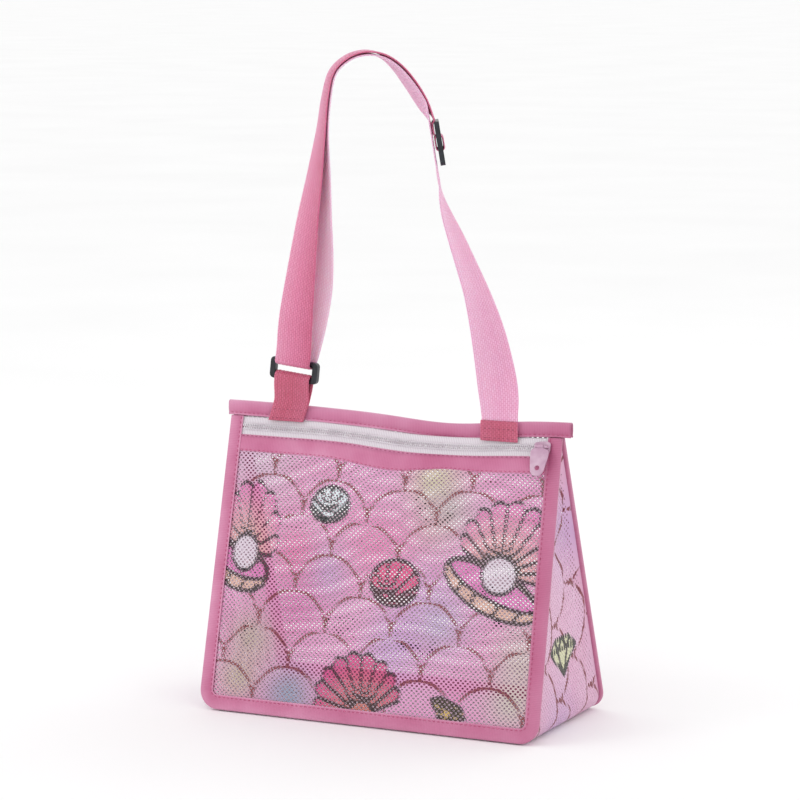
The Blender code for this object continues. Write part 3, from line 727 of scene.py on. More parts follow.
# %% Net material
def printed_net():
    material, tree, shader = new_material("printed_polyester_net", Roughness=0.62, IOR=1.5, Sheen_Weight=0.2)
    place = add_node(tree, "TexCoord").outputs["Object"]
    ragged = add_node(tree, "TexNoise", {"Vector": place, "Scale": 1 / (0.9 * MM), "Detail": 2.0})
    colour = add_node(tree, "Attribute", attribute_name="wash")
    cloud = add_node(tree, "TexNoise", {"Vector": place, "Scale": 1 / (19 * MM), "Detail": 3.0})
    tone = add_node(tree, "ValToRGB", {"Fac": cloud}, ((0.3, "#b98aa6"), (0.5, "#808080"), (0.72, "#b4a6b4")))
    colour = add_node(tree, "Mix", {"Factor": 0.25, "A": colour, "B": tone},
                      data_type="RGBA", blend_type="SOFT_LIGHT")
    for name, web, half in (("outline", "#7e2f35", 1.0), ("ink", "#0c090b", 1.2)):
        distance = add_node(tree, "Attribute", attribute_name=name).outputs["Fac"]
        rough = add_node(tree, "Math", {0: ragged, 1: 0.3, 2: distance}, operation="MULTIPLY_ADD")
        line = add_node(tree, "MapRange", {"Value": rough, "From Min": half + 0.1, "From Max": half + 0.4,
                                           "To Min": 0.94, "To Max": 0.0})
        colour = add_node(tree, "Mix", {"Factor": line, "A": colour, "B": linear(web)}, data_type="RGBA")
    yarns = add_node(tree, "TexNoise", {"Vector": place, "Scale": 1 / (0.5 * MM), "Detail": 1.0})
    dress(tree, shader, colour, yarns, 0.6, 0.15 * MM)
    return material


PRINTED_NET = printed_net()
print("printed net")

# %% [markdown]
# ## The three nets
# The front panel, the back panel and the gusset: one strip that runs down one side, along the
# bottom and up the other side. The gusset is cut flat as a long eight-sided strip, and only then
# bent up, which keeps its holes even round the corners. Its sides sag inwards between the panels.

# %% Panel nets
PANEL_TRIM = 3.4 * MM
SIDE_WAY = Vector((RISE, HALF_BOTTOM - HALF_TOP)).normalized()


def panel_trims():
    """Cuts down both sides and across the lower corners of a panel."""
    reach = (CORNER - PANEL_TRIM) * cos(pi / 4)
    middle = half_width(CORNER) - CORNER
    cuts = []
    for side in (-1, 1):
        cuts.append(((side * (HALF_BOTTOM - PANEL_TRIM), 0), (side * SIDE_WAY.x, SIDE_WAY.y)))
        cuts.append(((side * (middle + reach), CORNER - reach), (side, -1)))
    return cuts


def panel_window(top):
    shown = BIND_WIDE - 0.5 * MM
    return lambda x, y: shown < y < top and abs(x) < half_width(y) - shown


def net_piece(name, low, high, pitch, hole, window, trims, where, design, body, replaces):
    """Makes a flat net, places it, prints it and says how big its cloth is."""
    net = knitted_net(low, high, pitch, hole, window, trims)
    flat = np.array([v.co for v in net.verts])
    net = placed(net, where)
    piece = finish_piece(name, net, PRINTED_NET, body, replaces, smooth=False)
    print_on(piece.data, flat, low, pitch, flat[:, 2] < 0, design)
    wide, long = flat[:, 0].max() - flat[:, 0].min(), flat[:, 1].max() - flat[:, 1].min()
    cloth = sum(f.area for f in piece.data.polygons) / 2
    print(name, "cloth", round(cloth * 1e4), "cm2 in", round(wide / MM), "by", round(long / MM), "mm")
    return piece, (wide, long), cloth


FRONT_PITCH, FRONT_HOLE = (3.24 * MM, 3.14 * MM), 0.88 * MM
BACK_PITCH, BACK_HOLE = (3.54 * MM, 3.33 * MM), 0.74 * MM
hem_low = HEM_TOP - HEM_HIGH
front_net, front_flat, front_cloth = net_piece(
    "front_net", (-120 * MM, PANEL_TRIM), (120 * MM, hem_low + 4.5 * MM), FRONT_PITCH, FRONT_HOLE,
    panel_window(hem_low + 1 * MM), panel_trims(), on_front, front_print, "front", ["front_panel"])
back_net, back_flat, back_cloth = net_piece(
    "back_net", (-120 * MM, PANEL_TRIM), (120 * MM, RISE + 1 * MM), BACK_PITCH, BACK_HOLE,
    panel_window(RISE - 1 * MM), panel_trims(), on_back, back_print, "bag", ["back_panel"])

# %% Gusset net
LEAN = (FOOT_Y - HINGE_Y) / (HINGE_Z - FOOT_Z)
GUSSET_FOOT = FOOT_Y - BIND_HALF / cos(SLOPE) - 0.2 * MM
GUSSET_IN = 2.6 * MM
BASE_HALF = half_width(CORNER) - CORNER
BEND_WIDE, BEND_HIGH = CORNER - GUSSET_IN, CORNER - 0.6 * MM
BEND_LONG = pi / 2 * ((BEND_WIDE ** 2 + BEND_HIGH ** 2) / 2) ** 0.5
LEG = 163.5 * MM


def on_gusset(along, y, out):
    """Bends the flat strip up into a U. Out is outwards: down below, sideways at the sides."""
    side, run = (1 if along > 0 else -1), abs(along)
    if run < BASE_HALF:
        sag = 0.35 * MM * sin(run / BASE_HALF * 3 * pi) * cos(y / GUSSET_FOOT * pi / 2)
        return leant(Vector((along, y, 0.6 * MM - out + abs(sag))))
    if run < BASE_HALF + BEND_LONG:
        a = (run - BASE_HALF) / BEND_LONG * pi / 2
        x, z = side * (BASE_HALF + (BEND_WIDE + out) * sin(a)), CORNER - (BEND_HIGH + out) * cos(a)
        return leant(Vector((x, y, z)))
    z = CORNER + run - BASE_HALF - BEND_LONG
    half_deep = max(GUSSET_FOOT - z * LEAN, 1 * MM)
    across = min(abs(y) / half_deep, 1.0)
    bow = (4.6 + 0.8 * sin(z / (21 * MM) + side)) * MM
    bow *= sin(pi * min((z - CORNER) / LEG, 1)) * (1 - across ** 2)
    return leant(Vector((side * (half_width(z) - GUSSET_IN + out - bow), y, z)))


gusset_half = BASE_HALF + BEND_LONG + LEG
gusset_trims = []
for end in (-1, 1):
    for side in (-1, 1):
        corner = (end * (BASE_HALF + BEND_LONG - CORNER), side * GUSSET_FOOT)
        gusset_trims.append((corner, (end * LEAN, side)))
gusset_net, gusset_flat, gusset_cloth = net_piece(
    "gusset_net", (-gusset_half, -GUSSET_FOOT), (gusset_half, GUSSET_FOOT), BACK_PITCH, BACK_HOLE,
    lambda x, y: abs(y) < GUSSET_FOOT - 2 * MM - max(abs(x) - BASE_HALF, 0) * LEAN,
    gusset_trims, on_gusset, gusset_print, "bag", ["gusset_left", "gusset_bottom", "gusset_right"])
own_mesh(gusset_net)

# %% [markdown]
# ## The hem and the zip
# The zip is sewn between the top binding and a hem tape. Its two tapes are woven polyester with
# fine ribs that run up and down. The teeth are a nylon coil: one thick filament wound into a flat
# spring along each tape's edge, the two meshing down the middle. Winding a round section along a
# flattened helix gives the real thing, turn by turn.

# %% Hem tape
# Painted shade by the seams (0.44) and painted highlight on the folded edges, across the hem tape.
HEM_TAPE = grosgrain("grosgrain_hem_rose", (
    (0.0, "#d595b4"), (0.06, "#c8759a"), (0.2, "#c46e95"), (0.38, "#bd648b"), (0.44, "#a9527a"),
    (0.5, "#cf8cab"), (0.6, "#bd648b"), (0.9, "#c46e95"), (1.0, "#d595b4")), 23.0 * MM, 0.1)


def padded_tape(half_wide, half_thick, press):
    """The closed section of a tape folded flat on itself, pressed in at its two seams."""
    left = [(-half_wide * 0.965, half_thick * 0.7), (-half_wide * 0.84, half_thick - press),
            (-half_wide * 0.7, half_thick * 0.94)]
    face = [(-half_wide, 0.0), *left, (0.0, half_thick), *((-a, n) for a, n in reversed(left))]
    return [*face, *((-a, -n) for a, n in face), face[0]]


def across_front(up, half, step=2 * MM):
    """Stations along the front at one height."""
    return [(Vector((x, up, 0)), Y_WAY, Z_WAY) for x in spread(-half, half, step)]


hem_middle = HEM_TOP - HEM_HIGH / 2
tape = sweep(across_front(hem_middle, half_width(hem_middle) - 8.8 * MM),
             padded_tape(HEM_HIGH / 2, 1.0 * MM, 0.35 * MM), True)
finish_piece("zip_hem_tape", placed(tape, on_front), HEM_TAPE, "front", ["zip_hem"])


# %% Zip tapes
def zip_cloth():
    """White woven zip tape with ribs 1.2 mm apart, the finest that show."""
    material, tree, shader = new_material("woven_zip_tape_white", Roughness=0.72, IOR=1.5, Sheen_Weight=0.15)
    cloth = add_node(tree, "UVMap", uv_map="cloth")
    ribs = add_node(tree, "TexWave", {"Vector": cloth, "Scale": band_scale(1.2 * MM), "Distortion": 0.6},
                    wave_type="BANDS", bands_direction="X").outputs["Fac"]
    colour = add_node(tree, "ValToRGB", {"Fac": ribs}, ((0.15, "#d2c9d1"), (0.7, "#e5dee4")))
    dress(tree, shader, colour, ribs, 0.6, 0.15 * MM)
    return material


ZIP_TAPE = zip_cloth()
TAPE_EDGE = 0.5 * MM
for name, low, high in (("zip_tape_low", HEM_TOP - 4.5 * MM, ZIP_UP - TAPE_EDGE),
                        ("zip_tape_high", ZIP_UP + TAPE_EDGE, RISE - 0.3 * MM)):
    section = [(a, 0.25 * MM * sin(pi * (a - low) / (high - low)) - 0.1 * MM)
               for a in spread(low, high, 1.2 * MM)]
    tape = sweep(across_front(0, half_width(low) - 5 * MM), section)
    placed(give_wall(tape, 0.4 * MM), on_front)
    node = "zip_tape_lower" if "low" in name else "zip_tape_upper"
    finish_piece(name, tape, ZIP_TAPE, "front", [node])

# %% Coil
nylon, *_ = mottled("nylon_coil_filament", 9 * MM, 1.0, ((0.35, "#e6e0e6"), (0.7, "#f6f2f6")), 0.0,
                    Roughness=0.38, IOR=1.53)
COIL_PITCH, FILAMENT = 1.30 * MM, 0.30 * MM
STEPS_A_TURN = 10


def coil_stations(side, half):
    """A flattened helix along the front. Its heads reach just past the middle line."""
    turns = round(2 * half / COIL_PITCH)
    middle, reach = 1.02 * MM, 1.0 * MM
    stations = []
    for i in range(turns * STEPS_A_TURN + 1):
        a = 2 * pi * i / STEPS_A_TURN + (pi if side < 0 else 0)
        x, up = -half + COIL_PITCH * i / STEPS_A_TURN, ZIP_UP + side * (middle - reach * cos(a))
        place = Vector((x, up, 1.12 * MM + 0.6 * MM * sin(a)))
        stations.append((place, Vector((0, -side * cos(a), sin(a))), X_WAY))
    return stations


ring_section = [(FILAMENT * cos(a), FILAMENT * sin(a)) for a in spread(0, 2 * pi, 2 * pi / 5)]
for name, side in (("coil_high", 1), ("coil_low", -1)):
    coil = sweep(coil_stations(side, half_width(ZIP_UP) - 10.5 * MM), ring_section, closed=True)
    node = "zip_coil_upper" if side > 0 else "zip_coil_lower"
    finish_piece(name, placed(coil, on_front), nylon, "front", [node])


# %% [markdown]
# ## The slider and its pull
# A moulded slider has two plates joined by a post between the coils, side flanges that press the
# coils together, and a small arch on top. The pull is a thin rounded tab of the same clear lilac
# resin with a hole near its end, and its eye is a ring round the arch. Both plates start as a
# few points, made solid by extruding the face between them, and then get bevelled edges.

# %% Resin material
resin, *_ = mottled("moulded_lilac_resin", 6 * MM, 2.0, ((0.35, "#c79bb7"), (0.7, "#dcbbd0")), 0.25,
                    Roughness=0.28, IOR=1.49, Coat_Weight=0.2, Transmission_Weight=0.15)

# %% Plate helpers
SLIDER_X = 101.0 * MM
SLIDER = FRONT @ Matrix.Translation((SLIDER_X, ZIP_UP, 0))
PULL = SLIDER @ Matrix.Translation((0, 0, 5.1 * MM)) @ Matrix.Rotation(radians(-8), 4, "X")


def add_shape(work, other):
    """Adds another bmesh's shape to this one."""
    mesh = bpy.data.meshes.new("shape")
    other.to_mesh(mesh)
    work.from_mesh(mesh)
    bpy.data.meshes.remove(mesh)


def raised(work, face_list, height):
    """Extrudes faces into a solid of that height."""
    risen = bmesh.ops.extrude_face_region(work, geom=face_list)
    tops = [v for v in risen["geom"] if isinstance(v, bmesh.types.BMVert)]
    bmesh.ops.translate(work, verts=tops, vec=(0, 0, height))


def rounded(work, edges, by, segments):
    """Bevels edges that lie level in the plate's own frame."""
    level = [e for e in edges if abs(e.verts[0].co.z - e.verts[1].co.z) < 1e-7]
    bmesh.ops.bevel(work, geom=level, offset=by, offset_type="OFFSET", segments=segments, profile=0.5,
                    affect="EDGES", material=-1, clamp_overlap=True)


def plate(work, outline, low, high, edge, segments=2):
    """Adds a flat plate with that outline in mm and softly bevelled edges."""
    start = set(work.verts)
    rim = [work.verts.new((x * MM, y * MM, low * MM)) for x, y in outline]
    raised(work, [work.faces.new(rim)], (high - low) * MM)
    made = [e for e in work.edges if e.verts[0] not in start and e.verts[1] not in start]
    rounded(work, made, edge * MM, segments)


def arc(x, y, radius, start, end, count):
    turns = [radians(start + (end - start) * i / count) for i in range(count + 1)]
    return [(x + radius * cos(a), y + radius * sin(a)) for a in turns]


# %% Slider
SHIELD = [(5.2, -2.9), (5.5, -1.8), (5.5, 1.8), (5.2, 2.9), (3.0, 3.7), (-1.0, 3.4), (-4.6, 2.7), (-5.4, 1.9),
          (-5.4, -1.9), (-4.6, -2.7), (-1.0, -3.4), (3.0, -3.7)]
slider = bmesh.new()
plate(slider, SHIELD, 2.15, 3.1, 0.3)
plate(slider, SHIELD, -1.35, -0.55, 0.25)
plate(slider, [(3.6, -0.25), (3.9, 0.0), (3.6, 0.25), (2.2, 0.25), (2.2, -0.25)], -0.7, 2.3, 0.05, 1)
for side in (-1, 1):
    flange = [(4.4, side * 3.25), (4.4, side * 2.65), (-4.2, side * 2.3), (-4.2, side * 2.7)]
    plate(slider, flange, 0.75, 2.4, 0.15)
arch = [Vector((x * MM, 0, z * MM)) for x, z in (
    (-4.0, 2.9), (-4.0, 4.2), (-3.5, 4.9), (-2.6, 5.1), (0.0, 5.1), (2.6, 5.1), (3.5, 4.9), (4.0, 4.2),
    (4.0, 2.9))]
legs = [(point, Y_WAY, along.cross(Y_WAY)) for point, along in zip(arch, headings(arch))]
oval = [(0.8 * MM * cos(t), 0.5 * MM * sin(t)) for t in spread(0, 2 * pi, pi / 6)]
add_shape(slider, sweep(legs, oval, True))
bmesh.ops.transform(slider, matrix=SLIDER, verts=slider.verts)
finish_piece("slider_body", outwards(slider), resin, "slider", ["zip_slider"], smooth=False)

# %% Pull
rim = [(-1.9, -0.9), (-5.4, -1.9), (-6.1, -3.6), (-5.9, -7.0), *arc(0, -14.5, 4.6, 190, 350, 14), (5.9, -7.0),
       (6.1, -3.6), (5.4, -1.9), (1.9, -0.9)]
hole = arc(0, -13.9, 1.6, 90, 450, len(rim))[:-1]
pull = bmesh.new()
loops = []
for points in (rim, hole):
    ring = [pull.verts.new((x * MM, y * MM, -0.55 * MM)) for x, y in points]
    loops += [pull.edges.new(pair) for pair in zip(ring, ring[1:] + ring[:1])]
bmesh.ops.bridge_loops(pull, edges=loops)
raised(pull, pull.faces[:], 1.1 * MM)
rounded(pull, [e for e in pull.edges if e.calc_face_angle(0) > 1.2], 0.22 * MM, 2)
eye = sweep([(Vector((x * MM, 0, 0)), Y_WAY, Z_WAY) for x in (-1.8, -1.5, 1.5, 1.8)],
            [(a * MM, b * MM) for a, b in arc(0, 0, 1.3, 0, 360, 20)])
add_shape(pull, give_wall(eye, 0.55 * MM))
bmesh.ops.transform(pull, matrix=PULL, verts=pull.verts)
finish_piece("pull_tab", outwards(pull), resin, "pull", ["zip_pull"], smooth=False)

# %% [markdown]
# ## Webbing
# The strap is 25 mm polypropylene webbing: nine rounded cords lie side by side along it, bound by
# a basket weave whose short floats show as rows of dashes. The cords are real shape here, and the
# floats are colour and bump on the strap's own flat map. The colour is painted darker along one
# edge, a painted shade. The inner run is painted paler, and paler still towards the ring, a painted
# light where light comes through the thin webbing. The two sewn ends are a deeper rose.

# %% Webbing material
CORDS = 9
WEBBING, WEB_THICK = 25.0 * MM, 1.3 * MM


def webbing_cloth(name, left, middle, right, lit_paler=0.0):
    """Webbing whose colour changes across its width: the two edges and the middle, with painted shade
    on one edge. The last argument is how much paler it is painted at the ring's end of the strap, a
    painted light."""
    material, tree, shader = new_material(
        name, Roughness=0.5, IOR=1.49, Sheen_Weight=0.15, Subsurface_Weight=0.4, Subsurface_Scale=0.002,
        Subsurface_Radius=(1.0, 0.5, 0.7))
    cloth = add_node(tree, "UVMap", uv_map="cloth")
    weave = add_node(tree, "TexBrick", {
        "Vector": cloth, "Color1": (1, 1, 1, 1), "Color2": (0.62, 0.62, 0.62, 1),
        "Mortar": (0.04, 0.04, 0.04, 1), "Scale": 1.0, "Mortar Size": 0.26 * MM, "Mortar Smooth": 0.3,
        "Brick Width": 2.4 * MM, "Row Height": WEBBING / CORDS / 2}, offset=0.5)
    place = add_node(tree, "TexCoord").outputs["Object"]
    parts = add_node(tree, "SeparateXYZ", {"Vector": cloth})
    patches = add_node(tree, "TexNoise", {"Vector": place, "Scale": 1 / (30 * MM), "Detail": 2.0})
    uneven = add_node(tree, "Math", {0: patches, 1: 9 * MM, 2: parts.outputs["Y"]}, operation="MULTIPLY_ADD")
    share = add_node(tree, "Math", {0: uneven, 1: 2 * WEBBING + 10 * MM}, operation="DIVIDE")
    # Painted shade: the colour darkens towards one edge of the strap.
    tone = add_node(tree, "ValToRGB", {"Fac": share}, (
        (0.06, left), (0.28, middle), (0.48, right), (0.56, right), (0.76, middle), (0.98, left)))
    side = add_node(tree, "SeparateXYZ", {"Vector": place})
    # Painted light: paler at the ring's end of the strap, by the object's x.
    pale = add_node(tree, "MapRange", {"Value": side, "From Min": -50 * MM, "From Max": -25 * MM,
                                       "To Min": lit_paler, "To Max": 0.0})
    tone = add_node(tree, "Mix", {"Factor": pale, "A": tone, "B": linear("#ffe9f3")}, data_type="RGBA")
    woven = add_node(tree, "Mix", {"Factor": 0.42, "A": tone, "B": weave},
                     data_type="RGBA", blend_type="SOFT_LIGHT")
    dress(tree, shader, woven, weave, 0.8, 0.32 * MM)
    return material


# The main strap: one edge darker, a painted shade.
STRAP_WEB = webbing_cloth("polypropylene_webbing_pink", "#e29ab8", "#d97da1", "#cb668a")
# The inner run: the same webbing painted paler, a painted light where light comes through it.
LIT_INNER_WEB = webbing_cloth("polypropylene_webbing_lit_inner", "#e6aac9", "#e4a8c8", "#e9b6d2", 0.6)
TAB_WEB = webbing_cloth("polypropylene_webbing_rose", "#c8627f", "#c25875", "#c4607d")

# %% [markdown]
# ## The strap's route
# One long webbing makes the strap. It is sewn round the tri-glide's middle bar, goes over the top
# and down to the ring, turns round the ring's upper bar, comes back up under itself, passes the
# tri-glide and goes down to the right-hand tab. The route's points are the CAD's. It is in two
# pieces that meet under the ring's bar: the outer one follows the tri-glide at its end, and the
# inner one bends where the strap is sewn to the bag.

# %% Route
LEFT_X, LEFT_TAB_X, RIGHT_X, TAB_Y, SWING_Z = -75.7, -80.0, 71.0, -3.4, 195.4
CHAPE_LEAN = radians(6)
BAR_LOW, BAR_SPAN = 15.6, 11.0
GLIDE_ACROSS = -64.4
glide_across = Vector((cos(radians(GLIDE_ACROSS)), sin(radians(GLIDE_ACROSS)), 0.0))
down = Vector((0.145, 0.0695, -0.987)).normalized()
glide_down = (down - glide_across * down.dot(glide_across)).normalized()
glide_out = glide_across.cross(glide_down)
GLIDE_AT = Vector((20.2, 15.5, 364.5))


def beside_glide(along, out):
    return (*(GLIDE_AT + glide_down * along + glide_out * out), GLIDE_ACROSS)


OUTER_RUN = [
    beside_glide(-5.5, -2.6), beside_glide(-9, -2.7), beside_glide(-12.5, -2.5), beside_glide(-15.5, -1.2),
    (11.6, 12.6, 389.0, -52), (3.6, 9.2, 402.0, -47), (-4.5, 5.0, 413.0, -49),
    (-13.0, 0.5, 419.8, -54), (-23.0, -4.5, 421.5, -57), (-33.0, -9.5, 417.8, -57),
    (-41.5, -13.0, 408.5, -56), (-45.3, -14.8, 392.5, -54), (-48.3, -14.8, 370.5, -50),
    (-53.8, -13.5, 340.5, -40), (-59.2, -12.0, 314.5, -31), (-65.0, -10.0, 281.5, -18),
    (-70.0, -8.6, 249.5, -4), (-71.8, -8.0, 229.5, 0),
]
INNER_RUN = [
    (-69.8, 1.6, 231.5, 2), (-64.6, 1.6, 249.5, -2), (-59.2, 0.0, 270.5, -9),
    (-55.2, -3.4, 293.5, -19), (-52.3, -7.4, 316.5, -29), (-49.4, -10.2, 340.5, -39),
    (-46.6, -13.5, 370.7, -50), (-43.8, -14.0, 391.8, -54), (-40.4, -12.6, 407.2, -56),
    (-32.4, -9.2, 416.1, -57), (-22.8, -4.4, 419.6, -57), (-13.2, 0.4, 417.9, -54),
    (-5.2, 4.6, 411.2, -49), (2.5, 8.6, 400.4, -46), (9.9, 11.7, 388.0, -48),
    beside_glide(-14, -4.2), beside_glide(0, -4.2), beside_glide(14, -4.2), beside_glide(28, -4.2),
    (25.8, 13.4, 322.0, -77), (33.3, 10.8, 307.0, -88), (43.0, 8.0, 287.5, -98),
    (51.8, 5.0, 269.5, -108), (60.0, 2.0, 247.5, -125), (66.3, -0.6, 224.5, -143),
    (69.8, -2.4, 207.5, -166), (70.8, TAB_Y, SWING_Z + 0.9, -180),
    (RIGHT_X, TAB_Y - 0.2, 191.5, -180), (RIGHT_X, TAB_Y - 0.2, 187.0, -180),
]


def smooth_route(points, steps):
    """A smooth curve through every point (Catmull-Rom), for points of any length."""
    out = []
    for i in range(len(points) - 1):
        p0, p1, p2, p3 = (points[min(max(k, 0), len(points) - 1)] for k in range(i - 1, i + 3))
        for s in range(steps):
            t = s / steps
            out.append(tuple(
                0.5 * (2 * b + (c - a) * t + (2 * a - 5 * b + 4 * c - d) * t ** 2
                       + (3 * b - a - 3 * c + d) * t ** 3)
                for a, b, c, d in zip(p0, p1, p2, p3)))
    return [*out, points[-1]]


def ring_turn(first, last, steps=8):
    """Points under the ring's upper bar, from share first to share last of the half turn."""
    tilt = Matrix.Rotation(CHAPE_LEAN, 3, "Y")
    bar = Vector((LEFT_X, TAB_Y, SWING_Z)) + tilt @ Vector((0, 0, BAR_LOW + BAR_SPAN))
    turn = []
    for share in spread(first, last, (last - first) / steps):
        a = pi * share
        turn.append((bar.x - sin(CHAPE_LEAN) * 2.8 * sin(a), bar.y - 4.7 * cos(a), bar.z - 2.8 * sin(a), 0.0))
    return turn


# %% Webbing strips
def strip_stations(points, square=True):
    """Stations of a strip from (x, y, z, direction of its width in degrees). A strip that isn't
    square keeps its width level, and shears where it leans."""
    places = [Vector(p[:3]) * MM for p in points]
    stations = []
    for point, place, along in zip(points, places, headings(places)):
        angle = radians(point[3])
        near_ring = CHAPE_LEAN * (1 - ease(point[2], 218, 240)) * (point[0] < 0) * ease(point[2], 190, 204)
        across = Vector((cos(angle), sin(angle), -sin(near_ring)))
        if square:
            across = (across - along * across.dot(along)).normalized()
        stations.append((place, across, along.cross(across)))
    return stations


def webbing_section(wide=WEBBING, thick=WEB_THICK):
    """Nine rounded cords on each face, with a thin woven edge at each side."""
    face = []
    cord = (wide - 1.4 * MM) / CORDS
    for i in range(CORDS * 4 + 1):
        a = -wide / 2 + 0.7 * MM + i * cord / 4
        swell = abs(sin(pi * (i % 4) / 4)) if i % 4 else 0.0
        face.append((a, thick / 2 - 0.24 * MM + 0.24 * MM * swell))
    face = [(-wide / 2, 0.0), (-wide / 2 + 0.15 * MM, thick * 0.25), *face,
            (wide / 2 - 0.15 * MM, thick * 0.25), (wide / 2, 0.0)]
    return [*face, *((a, -n) for a, n in face[-2:0:-1]), face[0]]


first_turn, second_turn = ring_turn(0.0, 0.5, 5), ring_turn(0.5, 1.0, 5)
outer_points = smooth_route([*OUTER_RUN, first_turn[0]], 12)[:-1] + first_turn
inner_points = second_turn + smooth_route([second_turn[-1], *INNER_RUN], 12)[1:]
outer_strip = sweep(strip_stations(outer_points), webbing_section(), True)
outer = finish_piece("strap_outer_run", outer_strip, STRAP_WEB, None)
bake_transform(outer)
inner_strip = sweep(strip_stations(inner_points), webbing_section(), True)
inner = finish_piece("strap_inner_run", inner_strip, LIT_INNER_WEB, None)
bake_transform(inner)
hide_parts("shoulder_strap")
tab_points = [(RIGHT_X, TAB_Y - 1.35 + 0.4 * (z > 192), z, -180)
              for z in (192.6, 191.2, 189, 186, 183.5, 181.2, 179.8)]
tab = sweep(strip_stations(tab_points), webbing_section(WEBBING + 0.6 * MM, 1.0 * MM), True)
finish_piece("strap_tab_sewn", tab, TAB_WEB, "bag", ["strap_tab_right"])

# %% [markdown]
# ## Webbing loops
# A short loop of the same webbing holds the ring's lower bar. Both its ends are sewn flat over the
# top binding. Another loop, the strap's own end, goes round the tri-glide's middle bar.

# %% Ring loop
LOOP_THICK = 1.05 * MM
loop_side = [(-12.4, -0.62), (-6.0, -0.62), (0.5, -0.66), (4.5, -1.35), (10.0, -2.85)]
loop_over = [(BAR_LOW + 3.5 * sin(a), -3.5 * cos(a)) for a in spread(0, pi, pi / 10)]
loop_line = [*loop_side, *loop_over, *((h, -y) for h, y in reversed(loop_side))]
loop_points = [(LEFT_X + sin(CHAPE_LEAN) * max(h, 0) + (LEFT_TAB_X - LEFT_X) * min(-h / 12.4, 1) * (h < 0),
                TAB_Y + y - 0.35 * (h < 1), SWING_Z + h, 0.0) for h, y in loop_line]
loop = sweep(strip_stations(smooth_route(loop_points, 4), False), webbing_section(WEBBING, LOOP_THICK), True)
ring_loop = finish_piece("ring_webbing_loop", loop, TAB_WEB, None)
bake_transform(ring_loop)
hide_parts("chape_loop", "strap_tab_left")

# %% End loop
GLIDE = Matrix.Translation(GLIDE_AT * MM) @ facing(glide_across, glide_down, glide_out)
half_long, half_deep, round_by = 4.55 * MM, 2.5 * MM, 1.9 * MM
corners = ((1, 1, 0), (-1, 1, 90), (-1, -1, 180), (1, -1, 270))
loop_line = [q for cx, cz, start in corners for q in
             arc(cx * (half_long - round_by), cz * (half_deep - round_by), round_by, start, start + 90, 6)]
loop_line.append(loop_line[0])
loop_stations = []
for i, (y, z) in enumerate(loop_line[:-1]):
    (y0, z0), (y1, z1) = loop_line[i - 1 if i else -2], loop_line[i + 1]
    along = Vector((0, y1 - y0, z1 - z0)).normalized()
    loop_stations.append((Vector((0, y, z)), X_WAY, along.cross(X_WAY)))
loop_stations.append(loop_stations[0])
end_loop = sweep(loop_stations, webbing_section(WEBBING, LOOP_THICK), True)
bmesh.ops.transform(end_loop, matrix=GLIDE, verts=end_loop.verts)
finish_piece("strap_end_webbing", end_loop, STRAP_WEB, "glide", ["strap_end_loop"])

# %% [markdown]
# ## Black hardware
# The ring and the tri-glide are injection-moulded acetal: nearly black, fairly glossy, with the
# very slight unevenness that a mould leaves and finer scuffs on the corners that rub. Their shapes
# are the CAD's own, so they only get their material.

# %% Acetal
acetal, tree, shader = mottled("moulded_acetal_black", 4 * MM, 4.0, ((0.3, "#0d0f14"), (0.75, "#262a34")),
                               0.2, Roughness=0.3, IOR=1.48)
place = add_node(tree, "TexCoord").outputs["Object"]
scuffs = add_node(tree, "TexNoise", {"Vector": place, "Scale": 1 / (1.1 * MM), "Detail": 3.0})
worn = add_node(tree, "MapRange", {"Value": scuffs, "To Min": 0.2, "To Max": 0.46})
feed(tree, shader.inputs["Roughness"], worn)
for node in ("rect_ring", "triglide"):
    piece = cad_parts[node]
    piece.data.materials.clear()
    piece.data.materials.append(acetal)
print("ring and tri-glide in acetal")

# %% [markdown]
# ## Stitches
# Lockstitch thread shows as short dashes in a slight groove. Each stitch is a small round-ended
# grain of thread laid on the cloth, a little long for its width, as a real one is.

# %% Thread material
def thread(name, dark, pale):
    return mottled(name, 1.5 * MM, 1.0, ((0.35, dark), (0.7, pale)), 0.3, Roughness=0.5, IOR=1.5)[0]


ROSE_THREAD = thread("polyester_thread_rose", "#b3416f", "#cf6290")
DARK_THREAD = thread("polyester_thread_plum", "#7d2c49", "#a04468")


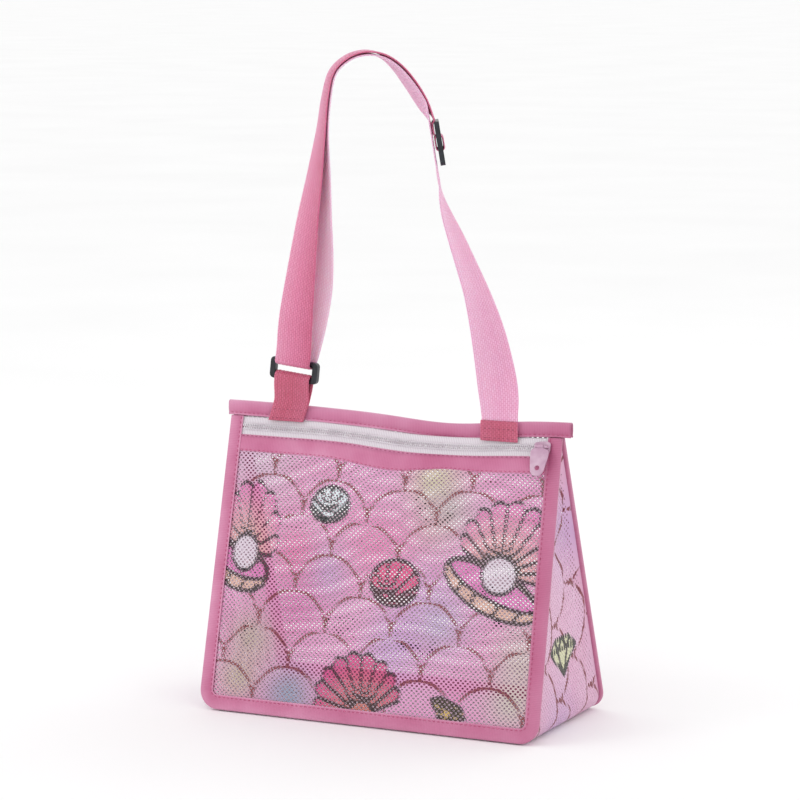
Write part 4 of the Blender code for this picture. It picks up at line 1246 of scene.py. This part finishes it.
# %% Stitch maker
def stitch_row(work, line, where, pitch=3.1 * MM, long=1.9 * MM, wide=0.42 * MM, high=0.3 * MM):
    """Adds stitches along a line of flat points carried by where(x, y, out)."""
    run = distances(line)

    def at(distance):
        k = max(i for i in range(len(run) - 1) if run[i] <= distance)
        return line[k].lerp(line[k + 1], (distance - run[k]) / max(run[k + 1] - run[k], 1e-9))

    count = int(run[-1] / pitch)
    for i in range(count):
        middle = (i + 0.5) * run[-1] / count
        a, b = at(max(middle - long / 2, 0)), at(min(middle + long / 2, run[-1] - 1e-6))
        start, end = where(*a), where(*b)
        along = (end - start).normalized()
        out = (where(a.x, a.y, a.z + MM) - start).normalized()
        side = out.cross(along).normalized()
        shape = Matrix.Translation((start + end) / 2) @ facing(along * long / 2, side * wide / 2, out * high)
        bmesh.ops.create_uvsphere(work, u_segments=6, v_segments=4, radius=1.0,
                                  matrix=shape @ Matrix.Rotation(pi / 2, 4, "Y"))


def stitches(name, rows, material, body):
    work = bmesh.new()
    for line, where in rows:
        stitch_row(work, line, where)
    return finish_piece(name, outwards(work), material, body)


# %% Rows of stitches
def inset_rim(inset, out):
    return [p + inwards * inset + Vector((0, 0, out)) for p, inwards, _ in RIM]


def level_row(up, half, out):
    return [Vector((x, up, out)) for x in spread(-half, half, 4 * MM)]


seam_out = BIND_HALF - 0.15 * MM
stitches("front_edge_stitches", [(inset_rim(SEAM, seam_out), on_front)], ROSE_THREAD, "front")
stitches("back_edge_stitches", [(inset_rim(SEAM, seam_out), on_back)], ROSE_THREAD, "bag")
hem_half = half_width(hem_middle) - 9.6 * MM
for name, up, colour in (("hem_top_stitches", HEM_TOP - 0.9 * MM, DARK_THREAD),
                         ("hem_low_stitches", hem_low + 0.9 * MM, ROSE_THREAD)):
    stitches(name, [(level_row(up, hem_half, 0.75 * MM), on_front)], colour, "front")
for name, side in (("top_front_stitches", -1), ("top_back_stitches", 1)):
    stitches(name, [(level_row(HEIGHT - SEAM, TOP_HALF - MM, 1.8 * MM),
                     lambda x, up, out, s=side: on_top(x, s * out, up))], ROSE_THREAD, "bag")

# %% Sewn strap ends
sewn = []
for middle, slant, front, low in ((RIGHT_X, 0.0, 5.15, 181.7), (-78.8, 1.5, 4.75, 184.8)):
    for up in (low, low + 5.8):
        shift = slant * (up - 187.7) / 5.8
        sewn.append(([Vector((middle + shift + dx, up, front)) * MM for dx in (-11, 0, 11)],
                     lambda x, up, out: Vector((x, -out, up))))
stitches("strap_end_stitches", sewn, DARK_THREAD, "bag")
